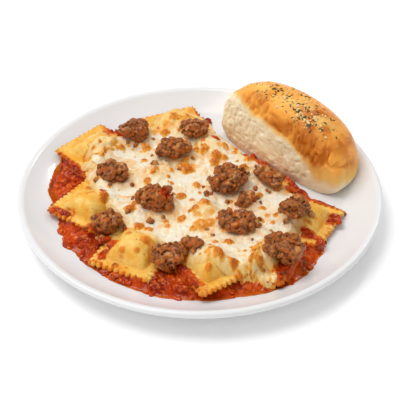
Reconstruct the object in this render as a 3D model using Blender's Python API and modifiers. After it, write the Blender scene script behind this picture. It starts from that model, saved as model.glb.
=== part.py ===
"""Cheese-baked ravioli with sausage on a round plate, and a bread roll beside them.

Units are metres, +Z up. The origin is on the table, under the middle of the plate.
The plate is turned. The ravioli are laid one at a time, each lowered until it meets
what lies there already. The sauce fills the plate's floor round them, the cheese is
draped over them, and the sausage pieces are pressed on last.
"""

import math
from dataclasses import dataclass

import bmesh
import bpy
from mathutils import Matrix, Vector, noise
from mathutils.bvhtree import BVHTree

# Clear space that separates pieces lying on each other.
GAP = 0.0005
# Height that every downward ray starts from.
SKY = 0.2

# Plate.
PLATE_RADIUS = 0.140
PLATE_HEIGHT = 0.0215
PLATE_STEPS = 48
FLOOR_RADIUS = 0.108
FLOOR_TOP = 0.0080
FLOOR_UNDERSIDE = 0.0032
WALL_CURVE = 1.65
WALL_THICKNESS = 0.0046
WALL_POINTS = 6
LIP_WIDTH = 0.0048
# Drop from the lip's crown to where the wall meets it.
LIP_DROP = 0.0005
FOOT_OUTER_RADIUS = 0.088
FOOT_INNER_RADIUS = 0.083
FOOT_FLARE = 0.002

# Ravioli.
FLUTES = 8
FLUTE_DEPTH = 0.0018
RIM_THICKNESS = 0.0030
RIM_WIDTH = 0.0085
PILLOW_HEIGHT = 0.0112
# Each ring of the pillow: its share of the pillow's half width, and of its height.
PILLOW_RINGS = ((1.0, 0.0), (0.87, 0.62), (0.60, 0.93))
PILLOW_POINTS = 4
PILLOW_ROUNDING = 0.20
# Places tried along each side of a raviolo when it is lowered onto the pile.
RESTING_STEPS = 44

# Sauce.
SAUCE_BED = 0.0016
SAUCE_DEPTH = 0.0060
SAUCE_EDGE_DEPTH = 0.0016
SAUCE_CELLS = 17
SAUCE_LUMPS = 0.0012
SAUCE_LUMP_SIZE = 0.013
SAUCE_CLEARANCE = 0.0018
POCKET_HEIGHT = 0.04
# Outline of the pool: degrees round from +X, distance from the middle.
SAUCE_OUTLINE = (
    (0, 0.085), (12, 0.0785), (22, 0.0715), (33, 0.067), (45, 0.065), (57, 0.067),
    (68, 0.0715), (76, 0.078), (88, 0.088), (105, 0.096),
    (127, 0.110), (145, 0.112), (160, 0.121), (172, 0.120), (188, 0.108), (201, 0.112),
    (225, 0.111), (260, 0.113), (285, 0.113), (303, 0.118), (323, 0.110), (342, 0.095),
)

# Cheese.
CHEESE_CENTRE = (-0.005, -0.004)
CHEESE_THICKNESS = 0.0026
CHEESE_EDGE_THICKNESS = 0.0013
CHEESE_CELLS = 19
CHEESE_TENSION = 0.45
CHEESE_SETTLING = 40
CHEESE_CLEARANCE = 0.0009
# Steps along each side of a triangle of the sheet where its clearance is kept.
CHEESE_SAMPLES = 6
# Outline of the sheet: degrees round from +X, distance from its centre.
CHEESE_OUTLINE = (
    (6, 0.072), (28, 0.063), (53, 0.064), (76, 0.076), (92, 0.104), (112, 0.097),
    (133, 0.088), (146, 0.098), (157, 0.092), (178, 0.076), (198, 0.066), (218, 0.066),
    (239, 0.062), (252, 0.064), (265, 0.076), (278, 0.088), (290, 0.100), (300, 0.104),
    (312, 0.086), (326, 0.088), (341, 0.089), (353, 0.083),
)

# Sausage.
SAUSAGE_LUMPS = 0.28
SAUSAGE_LUMP_SIZE = 0.55
SAUSAGE_SINK = 0.15
# Shares of a piece's width: how far round its middle and round each point the pile is felt.
SAUSAGE_MIDDLE_REACH = 0.35
SAUSAGE_POINT_REACH = 0.25
SAUSAGE_LEAST_HEIGHT = 0.002

# Bread roll. A fullness under 1 makes a side squarer than an ellipse, and over 1 leaner.
BREAD_CENTRE = (0.0688, 0.0521)
BREAD_TURN = -45.0
BREAD_LENGTH = 0.1265
BREAD_FRONT = 0.0180
BREAD_BACK = 0.0415
BREAD_HEIGHT = 0.0565
BREAD_SLOPE = -0.08
BREAD_UNDERCUT = 0.18
BREAD_END_FULLNESS = 0.78
BREAD_FRONT_FULLNESS = 0.45
BREAD_BACK_FULLNESS = 0.85
BREAD_TOP_FULLNESS = 0.85
BREAD_SEGMENTS = 22
BREAD_RINGS = 12


@dataclass(frozen=True)
class RavioloPlace:
    """Where one raviolo lies: middle, side, turn about Z, and tilt towards a bearing."""

    name: str
    x: float
    y: float
    side: float
    turn: float
    tilt: float = 0.0
    bearing: float = 0.0
    puff: float = 1.0


@dataclass(frozen=True)
class SausagePlace:
    """Where one sausage piece lies: middle, length, width, height and turn about Z."""

    name: str
    x: float
    y: float
    length: float
    width: float
    height: float
    turn: float = 0.0


# Laid down in this order. The bearing is the direction of a raviolo's raised side.
RAVIOLI = (
    RavioloPlace("ravioli_1", -0.0806, 0.0510, 0.053, 48.0, tilt=6.0, bearing=150),
    RavioloPlace("ravioli_2", -0.0200, 0.0855, 0.052, 22.0, tilt=2.0, bearing=95),
    RavioloPlace("ravioli_3", -0.0848, -0.0150, 0.047, -35.0, tilt=2.0, bearing=190, puff=0.95),
    RavioloPlace("ravioli_4", -0.0480, -0.0655, 0.051, -25.5, puff=1.08),
    RavioloPlace("ravioli_5", 0.0465, -0.0775, 0.042, -22.0, tilt=1.5, bearing=300, puff=0.95),
    RavioloPlace("ravioli_6", 0.0085, -0.0875, 0.044, 31.0, tilt=4.0, bearing=20, puff=1.05),
    RavioloPlace("ravioli_7", 0.0775, -0.0290, 0.050, -29.0, tilt=1.0, bearing=330),
    RavioloPlace("ravioli_8", 0.0385, 0.0175, 0.050, -50.0),
    RavioloPlace("ravioli_9", -0.0320, 0.0160, 0.045, 5.0, tilt=2.0, bearing=180),
    RavioloPlace("ravioli_10", 0.0030, -0.0310, 0.043, -10.0),
    RavioloPlace("ravioli_11", 0.0070, 0.0480, 0.041, -50.0, puff=0.9),
)

SAUSAGE = (
    SausagePlace("sausage_1", -0.0542, 0.0654, 0.028, 0.020, 0.0135, 10),
    SausagePlace("sausage_2", -0.0673, 0.0134, 0.025, 0.018, 0.0130, -20),
    SausagePlace("sausage_3", -0.0214, 0.0382, 0.027, 0.021, 0.0130, 30),
    SausagePlace("sausage_4", -0.0040, 0.0600, 0.022, 0.019, 0.0120, 0),
    SausagePlace("sausage_5", -0.0329, -0.0200, 0.030, 0.023, 0.0170, -25),
    SausagePlace("sausage_6", 0.0214, 0.0020, 0.032, 0.025, 0.0170, 40),
    SausagePlace("sausage_7", -0.0686, -0.0400, 0.021, 0.022, 0.0140, 80),
    SausagePlace("sausage_8", -0.0234, -0.0800, 0.025, 0.025, 0.0160, 60),
    SausagePlace("sausage_9", 0.0278, -0.0480, 0.032, 0.022, 0.0150, -25),
    SausagePlace("sausage_10", 0.0702, -0.0370, 0.021, 0.019, 0.0140, 50),
    SausagePlace("sausage_11", 0.0536, 0.0060, 0.026, 0.015, 0.0070, -45),
    SausagePlace("sausage_12", 0.0600, -0.0790, 0.031, 0.024, 0.0160, -35),
    SausagePlace("sausage_13", -0.0057, -0.0760, 0.015, 0.011, 0.0080, -20),
    SausagePlace("sausage_14", 0.0345, -0.0180, 0.016, 0.012, 0.0080, 20),
)


def clear_scene() -> None:
    """Remove every object of the start-up scene."""
    for obj in list(bpy.data.objects):
        bpy.data.objects.remove(obj, do_unlink=True)


def make_collection(name: str) -> bpy.types.Collection:
    """Make a collection in the scene."""
    collection = bpy.data.collections.new(name)
    bpy.context.scene.collection.children.link(collection)
    return collection


def make_material(name: str, colour: tuple, roughness: float) -> bpy.types.Material:
    """Make a plain non-metallic surface."""
    material = bpy.data.materials.new(name)
    material.use_nodes = True
    shader = material.node_tree.nodes["Principled BSDF"]
    shader.inputs["Base Color"].default_value = (*colour, 1.0)
    shader.inputs["Roughness"].default_value = roughness
    shader.inputs["Metallic"].default_value = 0.0
    return material


def add_object(name: str, bm: bmesh.types.BMesh, collection, material=None):
    """Turn a bmesh into an object with its faces pointing out."""
    bmesh.ops.recalc_face_normals(bm, faces=bm.faces[:])
    mesh = bpy.data.meshes.new(name)
    bm.to_mesh(mesh)
    bm.free()
    obj = bpy.data.objects.new(name, mesh)
    collection.objects.link(obj)
    if material is not None:
        mesh.materials.append(material)
    return obj


def plate_top(radius: float) -> float:
    """Height of the plate's upper side at a distance from its middle."""
    wall_end = PLATE_RADIUS - LIP_WIDTH
    share = (radius - FLOOR_RADIUS) / (wall_end - FLOOR_RADIUS)
    rise = PLATE_HEIGHT - LIP_DROP - FLOOR_TOP
    return FLOOR_TOP + rise * max(0.0, share) ** WALL_CURVE


def outline_radius(outline: tuple, degrees: float) -> float:
    """Smooth radius of a closed outline, given as (degrees, radius) pairs, at a bearing."""
    degrees %= 360.0
    for index, (end, end_radius) in enumerate(outline):
        if degrees < end:
            break
    else:
        index, (end, end_radius) = 0, outline[0]
    start, start_radius = outline[index - 1]
    span = (end - start) % 360.0
    share = ((degrees - start) % 360.0) / span
    blend = share * share * (3.0 - 2.0 * share)
    return start_radius + (end_radius - start_radius) * blend


def lumps(x: float, y: float, size: float) -> float:
    """Smooth bumps between about -1 and 1, of a given size across."""
    return noise.noise(Vector((x / size, y / size, 0.0)))


class Pile:
    """Everything on the plate so far, as surfaces that a vertical ray can meet."""

    def __init__(self) -> None:
        """Start with the bare plate."""
        self.trees = []

    def add(self, obj: bpy.types.Object) -> None:
        """Add an object, as its modifiers leave it, in its place."""
        bpy.context.view_layer.update()
        evaluated = obj.evaluated_get(bpy.context.evaluated_depsgraph_get())
        mesh = evaluated.to_mesh()
        points = [obj.matrix_world @ vertex.co for vertex in mesh.vertices]
        faces = [tuple(polygon.vertices) for polygon in mesh.polygons]
        self.trees.append(BVHTree.FromPolygons(points, faces))
        evaluated.to_mesh_clear()

    def height(self, x: float, y: float) -> float:
        """Height of the pile's top at a place."""
        top = plate_top(math.hypot(x, y))
        for tree in self.trees:
            point = tree.ray_cast(Vector((x, y, SKY)), Vector((0.0, 0.0, -1.0)))[0]
            if point is not None:
                top = max(top, point.z)
        return top

    def highest_near(self, x: float, y: float, reach: float) -> float:
        """Greatest height within a reach of a place."""
        heights = [self.height(x, y)]
        for ring in (0.5, 1.0):
            for step in range(8):
                angle = math.tau * step / 8
                dx, dy = reach * ring * math.cos(angle), reach * ring * math.sin(angle)
                heights.append(self.height(x + dx, y + dy))
        return max(heights)


def plate_profile() -> list:
    """Half section of the plate, from the middle of its top round to its underside."""
    wall_end = PLATE_RADIUS - LIP_WIDTH
    points = [(0.0, FLOOR_TOP), (FLOOR_RADIUS, FLOOR_TOP)]
    for step in range(1, WALL_POINTS + 1):
        radius = FLOOR_RADIUS + (wall_end - FLOOR_RADIUS) * step / WALL_POINTS
        points.append((radius, plate_top(radius)))
    half_lip = LIP_WIDTH / 2
    for degrees in (90, 40, 0, -40):
        angle = math.radians(degrees)
        radius = PLATE_RADIUS - half_lip + half_lip * math.cos(angle)
        points.append((radius, PLATE_HEIGHT - half_lip + half_lip * math.sin(angle)))
    for share in (0.72, 0.40, 0.12):
        radius = FLOOR_RADIUS + (wall_end - FLOOR_RADIUS) * share
        points.append((radius + WALL_THICKNESS * share, plate_top(radius) - WALL_THICKNESS))
    points.append((FOOT_OUTER_RADIUS + FOOT_FLARE, FLOOR_UNDERSIDE))
    points.append((FOOT_OUTER_RADIUS, 0.0))
    points.append((FOOT_INNER_RADIUS, 0.0))
    points.append((FOOT_INNER_RADIUS - FOOT_FLARE, FLOOR_UNDERSIDE))
    points.append((0.0, FLOOR_UNDERSIDE))
    return points


def make_plate(collection, material):
    """Turn the plate's half section about Z."""
    mesh = bpy.data.meshes.new("plate")
    points = [(radius, 0.0, height) for radius, height in plate_profile()]
    mesh.from_pydata(points, [(i, i + 1) for i in range(len(points) - 1)], [])
    mesh.materials.append(material)
    plate = bpy.data.objects.new("plate", mesh)
    collection.objects.link(plate)
    screw = plate.modifiers.new("turn", "SCREW")
    screw.axis = "Z"
    screw.angle = math.tau
    screw.steps = PLATE_STEPS
    screw.render_steps = PLATE_STEPS
    screw.use_merge_vertices = True
    screw.merge_threshold = 0.00005
    screw.use_smooth_shade = True
    return plate


def square_ring(half: float, per_side: int, rounding: float = 0.0, wave: float = 0.0) -> list:
    """Points round a square, with corners drawn in by rounding and every other point by wave."""
    corners = ((-1, -1), (1, -1), (1, 1), (-1, 1))
    ring = []
    for side in range(4):
        start = Vector(corners[side])
        end = Vector(corners[(side + 1) % 4])
        for step in range(per_side):
            point = start.lerp(end, step / per_side)
            stretch = 1.0 - rounding * (point.length - 1.0)
            reach = half - (wave if step % 2 else 0.0)
            ring.append(point * stretch * reach)
    return ring


def bridge(bm: bmesh.types.BMesh, outer: list, inner: list) -> None:
    """Join two rings of vertices with faces. The outer one may have several times the points."""
    ratio = len(outer) // len(inner)
    count = len(inner)
    for index in range(count):
        start, end = inner[index], inner[(index + 1) % count]
        edge = [outer[(index * ratio + step) % len(outer)] for step in range(ratio + 1)]
        if ratio == 1:
            bm.faces.new((edge[0], edge[1], end, start))
            continue
        middle = ratio // 2
        for step in range(ratio):
            tip = start if step < middle else end
            bm.faces.new((edge[step], edge[step + 1], tip))
        bm.faces.new((edge[middle], end, start))


def raviolo_mesh(place: RavioloPlace) -> bmesh.types.BMesh:
    """A filled pillow inside a flat rim with a fluted edge, standing on z = 0."""
    bm = bmesh.new()
    half = place.side / 2
    edge = square_ring(half, 2 * FLUTES, wave=FLUTE_DEPTH)
    bottom = [bm.verts.new((x, y, 0.0)) for x, y in edge]
    outer = [bm.verts.new((x, y, RIM_THICKNESS)) for x, y in edge]
    bm.faces.new(bottom)
    bridge(bm, bottom, outer)
    pillow = half - RIM_WIDTH
    for width, rise in PILLOW_RINGS:
        height = RIM_THICKNESS + rise * PILLOW_HEIGHT * place.puff
        ring = square_ring(pillow * width, PILLOW_POINTS, rounding=PILLOW_ROUNDING * (2 - width))
        inner = [bm.verts.new((x, y, height)) for x, y in ring]
        bridge(bm, outer, inner)
        outer = inner
    crown = bm.verts.new((0.0, 0.0, RIM_THICKNESS + PILLOW_HEIGHT * place.puff))
    for index, vertex in enumerate(outer):
        bm.faces.new((vertex, outer[(index + 1) % len(outer)], crown))
    return bm


def raviolo_pose(place: RavioloPlace) -> Matrix:
    """Turn, tilt and plan position of a raviolo, at height 0."""
    bearing = math.radians(place.bearing)
    hinge = Vector((math.sin(bearing), -math.cos(bearing), 0.0))
    tilt = Matrix.Rotation(math.radians(place.tilt), 4, hinge)
    turn = Matrix.Rotation(math.radians(place.turn), 4, "Z")
    return Matrix.Translation((place.x, place.y, 0.0)) @ tilt @ turn


def resting_lift(pile: Pile, pose: Matrix, half: float) -> float:
    """How far a flat square underside rises before it clears the pile and the sauce's bed."""
    lift = -SKY
    for row in range(RESTING_STEPS + 1):
        for column in range(RESTING_STEPS + 1):
            u = half * (2 * row / RESTING_STEPS - 1)
            v = half * (2 * column / RESTING_STEPS - 1)
            point = pose @ Vector((u, v, 0.0))
            bed = plate_top(math.hypot(point.x, point.y)) + SAUCE_BED
            lift = max(lift, max(bed, pile.height(point.x, point.y)) + GAP - point.z)
    return lift


def make_raviolo(place: RavioloPlace, pile: Pile, collection, material):
    """Make one raviolo and lower it onto the pile."""
    raviolo = add_object(place.name, raviolo_mesh(place), collection, material)
    pose = raviolo_pose(place)
    lift = resting_lift(pile, pose, place.side / 2 + GAP)
    raviolo.matrix_world = Matrix.Translation((0.0, 0.0, lift)) @ pose
    pile.add(raviolo)
    return raviolo


def make_pocket(place: RavioloPlace, raviolo, collection):
    """A block over a raviolo's whole footprint, which cuts its pocket in the sauce."""
    width = place.side + 2 * SAUCE_CLEARANCE
    bm = bmesh.new()
    bmesh.ops.create_cube(bm, size=1.0)
    bmesh.ops.scale(bm, vec=(width, width, POCKET_HEIGHT), verts=bm.verts)
    bmesh.ops.translate(bm, vec=(0.0, 0.0, POCKET_HEIGHT / 2 - GAP), verts=bm.verts)
    pocket = add_object(f"{place.name}_pocket", bm, collection)
    pocket.matrix_world = raviolo.matrix_world.copy()
    pocket.hide_render = True
    pocket.display_type = "WIRE"
    return pocket


def pressed_grid(centre: tuple, outline: tuple, cells: int) -> tuple:
    """A square grid pressed into a rounded outline, and each vertex's share of the way out."""
    bm = bmesh.new()
    bmesh.ops.create_grid(bm, x_segments=cells, y_segments=cells, size=1.0)
    shares = []
    for vertex in bm.verts:
        x, y, _ = vertex.co
        u = x * math.sqrt(1.0 - y * y / 2)
        v = y * math.sqrt(1.0 - x * x / 2)
        share = math.hypot(u, v)
        bearing = math.atan2(v, u)
        radius = outline_radius(outline, math.degrees(bearing)) * share
        vertex.co.x = centre[0] + radius * math.cos(bearing)
        vertex.co.y = centre[1] + radius * math.sin(bearing)
        shares.append(share)
    return bm, shares


def raise_copy(bm: bmesh.types.BMesh, tops: list) -> None:
    """Close a sheet into a slab: its copy at the heights in tops, and walls between the two."""
    made = bmesh.ops.extrude_face_region(bm, geom=bm.faces[:], use_keep_orig=True)
    upper = [item for item in made["geom"] if isinstance(item, bmesh.types.BMVert)]
    bm.verts.index_update()
    places = {(vertex.co.x, vertex.co.y): top for vertex, top in zip(bm.verts, tops)}
    for vertex in upper:
        vertex.co.z = places[(vertex.co.x, vertex.co.y)]


def sauce_depth(x: float, y: float, share: float) -> float:
    """Depth of the sauce, which thins towards its edge and is lumpy all over."""
    inside = 1.0 - share ** 6
    uneven = SAUCE_LUMPS * lumps(x, y, SAUCE_LUMP_SIZE)
    return SAUCE_EDGE_DEPTH + (SAUCE_DEPTH - SAUCE_EDGE_DEPTH + uneven) * inside


def make_sauce(pockets: list, collection, material):
    """A pool over the plate's floor, with a pocket cut for each raviolo."""
    bm, shares = pressed_grid((0.0, 0.0), SAUCE_OUTLINE, SAUCE_CELLS)
    tops = []
    for vertex, share in zip(bm.verts, shares):
        x, y, _ = vertex.co
        vertex.co.z = plate_top(math.hypot(x, y)) + GAP
        tops.append(vertex.co.z + sauce_depth(x, y, share))
    floor_faces = [
        face for face in bm.faces
        if all(math.hypot(vertex.co.x, vertex.co.y) < FLOOR_RADIUS for vertex in face.verts)
    ]
    raise_copy(bm, tops)
    bmesh.ops.dissolve_faces(bm, faces=floor_faces, use_verts=True)
    sauce = add_object("sauce", bm, collection, material)
    for pocket in pockets:
        cut = sauce.modifiers.new(pocket.name, "BOOLEAN")
        cut.operation = "DIFFERENCE"
        cut.solver = "MANIFOLD"
        cut.object = pocket
    return sauce


def melted_heights(pile: Pile, sheet: bmesh.types.BMesh) -> list:
    """Heights that keep a sheet just above the pile, drawn smooth over its narrow gaps."""
    heights = [pile.height(vertex.co.x, vertex.co.y) + CHEESE_CLEARANCE for vertex in sheet.verts]
    sheet.verts.index_update()
    near = [[edge.other_vert(vertex).index for edge in vertex.link_edges] for vertex in sheet.verts]
    for _ in range(3):
        means = [sum(heights[other] for other in others) / len(others) for others in near]
        heights = [
            height + CHEESE_TENSION * max(0.0, mean - height)
            for height, mean in zip(heights, means)
        ]
    steps = range(CHEESE_SAMPLES + 1)
    shares = [(a / CHEESE_SAMPLES, b / CHEESE_SAMPLES) for a in steps for b in steps[:len(steps) - a]]
    samples = []
    for corners in sheet.calc_loop_triangles():
        places = [corner.vert.co for corner in corners]
        indices = [corner.vert.index for corner in corners]
        for a, b in shares:
            weights = (a, b, 1.0 - a - b)
            x = sum(place.x * weight for place, weight in zip(places, weights))
            y = sum(place.y * weight for place, weight in zip(places, weights))
            samples.append((indices, weights, pile.height(x, y) + CHEESE_CLEARANCE))
    for _ in range(CHEESE_SETTLING):
        for indices, weights, needed in samples:
            here = sum(heights[index] * weight for index, weight in zip(indices, weights))
            if here < needed:
                for index, weight in zip(indices, weights):
                    heights[index] += (needed - here) * weight
    return heights


def make_cheese(pile: Pile, collection, material):
    """A sheet of melted cheese draped over the pile."""
    bm, shares = pressed_grid(CHEESE_CENTRE, CHEESE_OUTLINE, CHEESE_CELLS)
    bmesh.ops.triangulate(bm, faces=bm.faces[:])
    heights = melted_heights(pile, bm)
    tops = []
    for vertex, height, share in zip(bm.verts, heights, shares):
        vertex.co.z = height
        thinning = (CHEESE_THICKNESS - CHEESE_EDGE_THICKNESS) * share ** 4
        tops.append(height + CHEESE_THICKNESS - thinning)
    raise_copy(bm, tops)
    return add_object("cheese", bm, collection, material)


def make_sausage(place: SausagePlace, seed: int, pile: Pile, collection, material):
    """A crumbly lump of sausage, its underside pressed to fit what it lies on."""
    bm = bmesh.new()
    bmesh.ops.create_icosphere(bm, subdivisions=2, radius=1.0)
    turn = Matrix.Rotation(math.radians(place.turn), 3, "Z")
    reach = SAUSAGE_POINT_REACH * place.width
    base = pile.highest_near(place.x, place.y, SAUSAGE_MIDDLE_REACH * place.width)
    middle = base + place.height * (0.5 - SAUSAGE_SINK)
    floor = {}
    for vertex in bm.verts:
        rough = noise.noise(vertex.co / SAUSAGE_LUMP_SIZE + Vector((seed * 7.3, 0.0, 0.0)))
        swell = 1.0 + SAUSAGE_LUMPS * rough
        size = Vector((place.length, place.width, place.height)) / 2
        point = turn @ Vector(a * b * swell for a, b in zip(vertex.co, size))
        vertex.co = point + Vector((place.x, place.y, middle))
        floor[vertex] = pile.highest_near(vertex.co.x, vertex.co.y, reach) + GAP
    for vertex in bm.verts:
        is_top = vertex.co.z > middle
        limit = floor[vertex] + (SAUSAGE_LEAST_HEIGHT if is_top else 0.0)
        vertex.co.z = max(vertex.co.z, limit)
    return add_object(place.name, bm, collection, material)


def make_bread(collection, material):
    """A soft roll: torn straight down its front side, round behind, flat underneath."""
    bm = bmesh.new()
    bmesh.ops.create_uvsphere(bm, u_segments=BREAD_SEGMENTS, v_segments=BREAD_RINGS, radius=1.0)
    turn = Matrix.Rotation(math.radians(BREAD_TURN), 3, "Z")
    for vertex in bm.verts:
        x, y, z = vertex.co
        along = math.copysign(abs(x) ** BREAD_END_FULLNESS, x)
        u = along * BREAD_LENGTH / 2
        if y < 0:
            v = -abs(y) ** BREAD_FRONT_FULLNESS * BREAD_FRONT
        else:
            v = y ** BREAD_BACK_FULLNESS * BREAD_BACK
        height = BREAD_HEIGHT * (1.0 + BREAD_SLOPE * along)
        widest = height * BREAD_UNDERCUT
        if z < 0:
            rise = -min(1.0, -2 * z) * widest
        else:
            rise = z ** BREAD_TOP_FULLNESS * (height - widest)
        point = turn @ Vector((u, v, 0.0)) + Vector((*BREAD_CENTRE, 0.0))
        floor = plate_top(math.hypot(point.x, point.y)) + GAP
        vertex.co = (point.x, point.y, max(FLOOR_TOP + GAP + widest + rise, floor))
    return add_object("bread_roll", bm, collection, material)


def main() -> None:
    """Build the plate and everything on it."""
    clear_scene()
    food = make_collection("Ravioli")
    cutters = make_collection("Cutters")
    glaze = make_material("glazed_ceramic", (0.80, 0.80, 0.79), 0.12)
    pasta = make_material("pasta", (0.84, 0.60, 0.20), 0.35)
    tomato = make_material("tomato_sauce", (0.45, 0.06, 0.02), 0.22)
    melted = make_material("melted_cheese", (0.86, 0.76, 0.50), 0.30)
    meat = make_material("sausage", (0.26, 0.11, 0.05), 0.45)
    crust = make_material("bread", (0.72, 0.42, 0.16), 0.60)

    make_plate(food, glaze)
    pile = Pile()
    pockets = []
    for place in RAVIOLI:
        raviolo = make_raviolo(place, pile, food, pasta)
        pockets.append(make_pocket(place, raviolo, cutters))
    sauce = make_sauce(pockets, food, tomato)
    pile.add(sauce)
    cheese = make_cheese(pile, food, melted)
    pile.add(cheese)
    for seed, place in enumerate(SAUSAGE):
        pile.add(make_sausage(place, seed, pile, food, meat))
    make_bread(food, crust)


main()
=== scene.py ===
"""The finished look of a plate of cheese-baked ravioli with sausage and a bread roll.

Units are metres, +Z up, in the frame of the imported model. Each class below makes one kind
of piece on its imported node: the plate is turned, the ravioli are pressed out of two sheets
of dough, the sauce, its smears and the melted cheese are draped over what lies below them,
the sausage is gathered from crumbs, and the roll is shaped, torn and sprinkled last.
"""

import logging
import math
from dataclasses import dataclass
from enum import Enum

import bpy
import numpy as np
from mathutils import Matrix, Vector, noise
from mathutils.bvhtree import BVHTree


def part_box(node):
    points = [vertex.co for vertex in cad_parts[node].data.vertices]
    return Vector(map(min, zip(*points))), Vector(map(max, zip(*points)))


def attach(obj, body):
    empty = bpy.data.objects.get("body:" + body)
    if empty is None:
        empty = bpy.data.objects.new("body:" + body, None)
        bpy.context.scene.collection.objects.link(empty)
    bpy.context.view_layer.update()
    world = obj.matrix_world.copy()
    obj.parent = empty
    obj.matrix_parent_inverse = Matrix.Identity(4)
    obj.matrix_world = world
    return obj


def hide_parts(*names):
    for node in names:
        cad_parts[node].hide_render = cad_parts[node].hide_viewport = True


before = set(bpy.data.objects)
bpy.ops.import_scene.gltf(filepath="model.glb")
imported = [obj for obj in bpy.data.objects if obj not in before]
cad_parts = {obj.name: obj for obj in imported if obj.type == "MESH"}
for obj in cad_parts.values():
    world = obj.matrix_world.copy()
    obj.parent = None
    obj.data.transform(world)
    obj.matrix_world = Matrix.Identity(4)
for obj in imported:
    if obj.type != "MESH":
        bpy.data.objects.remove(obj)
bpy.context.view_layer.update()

log = logging.getLogger("ravioli")
BODY = "root"
# Height that every downward ray starts from, above all the food.
SKY = 0.2
MM = 0.001


class Slot(Enum):
    """The record's material slots."""

    PLATE = "plate"
    PASTA = "pasta"
    SAUCE = "sauce"
    CHEESE = "cheese"
    SAUSAGE = "sausage"
    BREAD = "bread"


class Mask(Enum):
    """Point attributes that carry a pattern which follows the surface."""

    TOAST = "toast"
    STAIN = "stain"
    THIN = "thin"
    CRUST = "crust"
    SHADE = "shade"


# ---------------------------------------------------------------- numbers and noise


def smooth(values: np.ndarray, low: float, high: float) -> np.ndarray:
    """Ease from 0 at low to 1 at high.

    Args:
        values: Numbers to ease.
        low: Value that gives 0.
        high: Value that gives 1.

    Returns:
        The eased numbers.
    """
    share = np.clip((values - low) / (high - low), 0.0, 1.0)
    return share * share * (3.0 - 2.0 * share)


def bumps(points: np.ndarray, size: float, seed: float = 0.0) -> np.ndarray:
    """Soft bumps between about -1 and 1.

    Args:
        points: Places, one row each.
        size: Width of a bump.
        seed: Picks another field of bumps.

    Returns:
        One number for each place.
    """
    shift = Vector((seed, 3.7 * seed, -1.9 * seed))
    return np.array([noise.noise(Vector(point) / size + shift) for point in points])


def pebbles(points: np.ndarray, size: float, seed: float = 0.0) -> np.ndarray:
    """Close-packed rounded lumps, 1 at the middle of each and 0 in the creases.

    Args:
        points: Places, one row each.
        size: Width of a lump.
        seed: Picks another set of lumps.

    Returns:
        One number for each place.
    """
    shift = Vector((seed, 5.1 * seed, 2.3 * seed))
    gaps = []
    for point in points:
        spot = Vector(point) / size + shift
        distances = noise.voronoi(spot + 0.45 * noise.noise_vector(1.6 * spot))[0]
        gaps.append((distances[0], distances[1]))
    gaps = np.array(gaps)
    return np.clip(1.0 - (gaps[:, 0] / np.maximum(gaps[:, 1], 1e-6)) ** 2, 0.0, 1.0)


def polar_outline(points: np.ndarray, centre: tuple, bins: int = 90) -> np.ndarray:
    """Radius of a star-shaped outline at even bearings.

    Args:
        points: Points of the shape, one row each.
        centre: Middle that the radii are measured from.
        bins: How many bearings.

    Returns:
        The radius at each bearing, from +X round towards +Y.
    """
    offset = points[:, :2] - np.array(centre)
    radius = np.hypot(offset[:, 0], offset[:, 1])
    bearing = np.arctan2(offset[:, 1], offset[:, 0])
    reach = math.tau / bins
    radii = []
    for step in range(bins):
        apart = np.angle(np.exp(1j * (bearing - reach * step)))
        radii.append(radius[np.abs(apart) < 1.2 * reach].max())
    radii = np.array(radii)
    return 0.5 * radii + 0.25 * (np.roll(radii, 1) + np.roll(radii, -1))


# ---------------------------------------------------------------- mesh work


def deselect() -> None:
    """Leave nothing selected, so that the next operator acts on one piece only."""
    bpy.ops.object.select_all(action="DESELECT")


def take(piece: bpy.types.Object, name: str) -> bpy.types.Object:
    """Name a new piece and make it the active one.

    Args:
        piece: The object just added.
        name: Its name.

    Returns:
        The same object.
    """
    piece.name = name
    piece.data.name = name
    bpy.context.view_layer.objects.active = piece
    piece.select_set(True)
    return piece


def points_of(piece: bpy.types.Object) -> np.ndarray:
    """Vertex places of a piece, one row each."""
    flat = np.empty(len(piece.data.vertices) * 3, np.float32)
    piece.data.vertices.foreach_get("co", flat)
    return flat.reshape(-1, 3).astype(float)


def set_points(piece: bpy.types.Object, points: np.ndarray) -> None:
    """Move the vertices of a piece to new places."""
    piece.data.vertices.foreach_set("co", points.astype(np.float32).ravel())
    piece.data.update()


def set_mask(piece: bpy.types.Object, mask: Mask, values: np.ndarray) -> None:
    """Store one number for each vertex of a piece, for its material to read."""
    layer = piece.data.attributes.new(mask.value, "FLOAT", "POINT")
    layer.data.foreach_set("value", np.clip(values, 0.0, 1.0).astype(np.float32))


def apply_modifier(piece: bpy.types.Object, kind: str, **settings) -> None:
    """Add a modifier to a piece and apply it at once.

    Args:
        piece: The object to change.
        kind: Type of the modifier.
        settings: The modifier's own properties.
    """
    bpy.context.view_layer.objects.active = piece
    modifier = piece.modifiers.new(kind.lower(), kind)
    for key, value in settings.items():
        setattr(modifier, key, value)
    bpy.ops.object.modifier_apply(modifier=modifier.name)


def slab(name: str, cells: int) -> bpy.types.Object:
    """A square sheet from -1 to 1 with a wall round it and a closed underside.

    Args:
        name: Name of the piece.
        cells: Cells along each side.

    Returns:
        The object, with its sheet at height 0 and its underside's edge at -1.
    """
    deselect()
    bpy.ops.mesh.primitive_grid_add(x_subdivisions=cells, y_subdivisions=cells, size=2.0)
    piece = take(bpy.context.object, name)
    bpy.ops.object.mode_set(mode="EDIT")
    bpy.ops.mesh.select_all(action="SELECT")
    bpy.ops.mesh.region_to_loop()
    bpy.ops.mesh.extrude_region_move(TRANSFORM_OT_translate={"value": (0.0, 0.0, -1.0)})
    bpy.ops.mesh.edge_face_add()
    bpy.ops.mesh.select_all(action="SELECT")
    bpy.ops.mesh.normals_make_consistent(inside=False)
    bpy.ops.object.mode_set(mode="OBJECT")
    return piece


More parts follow.
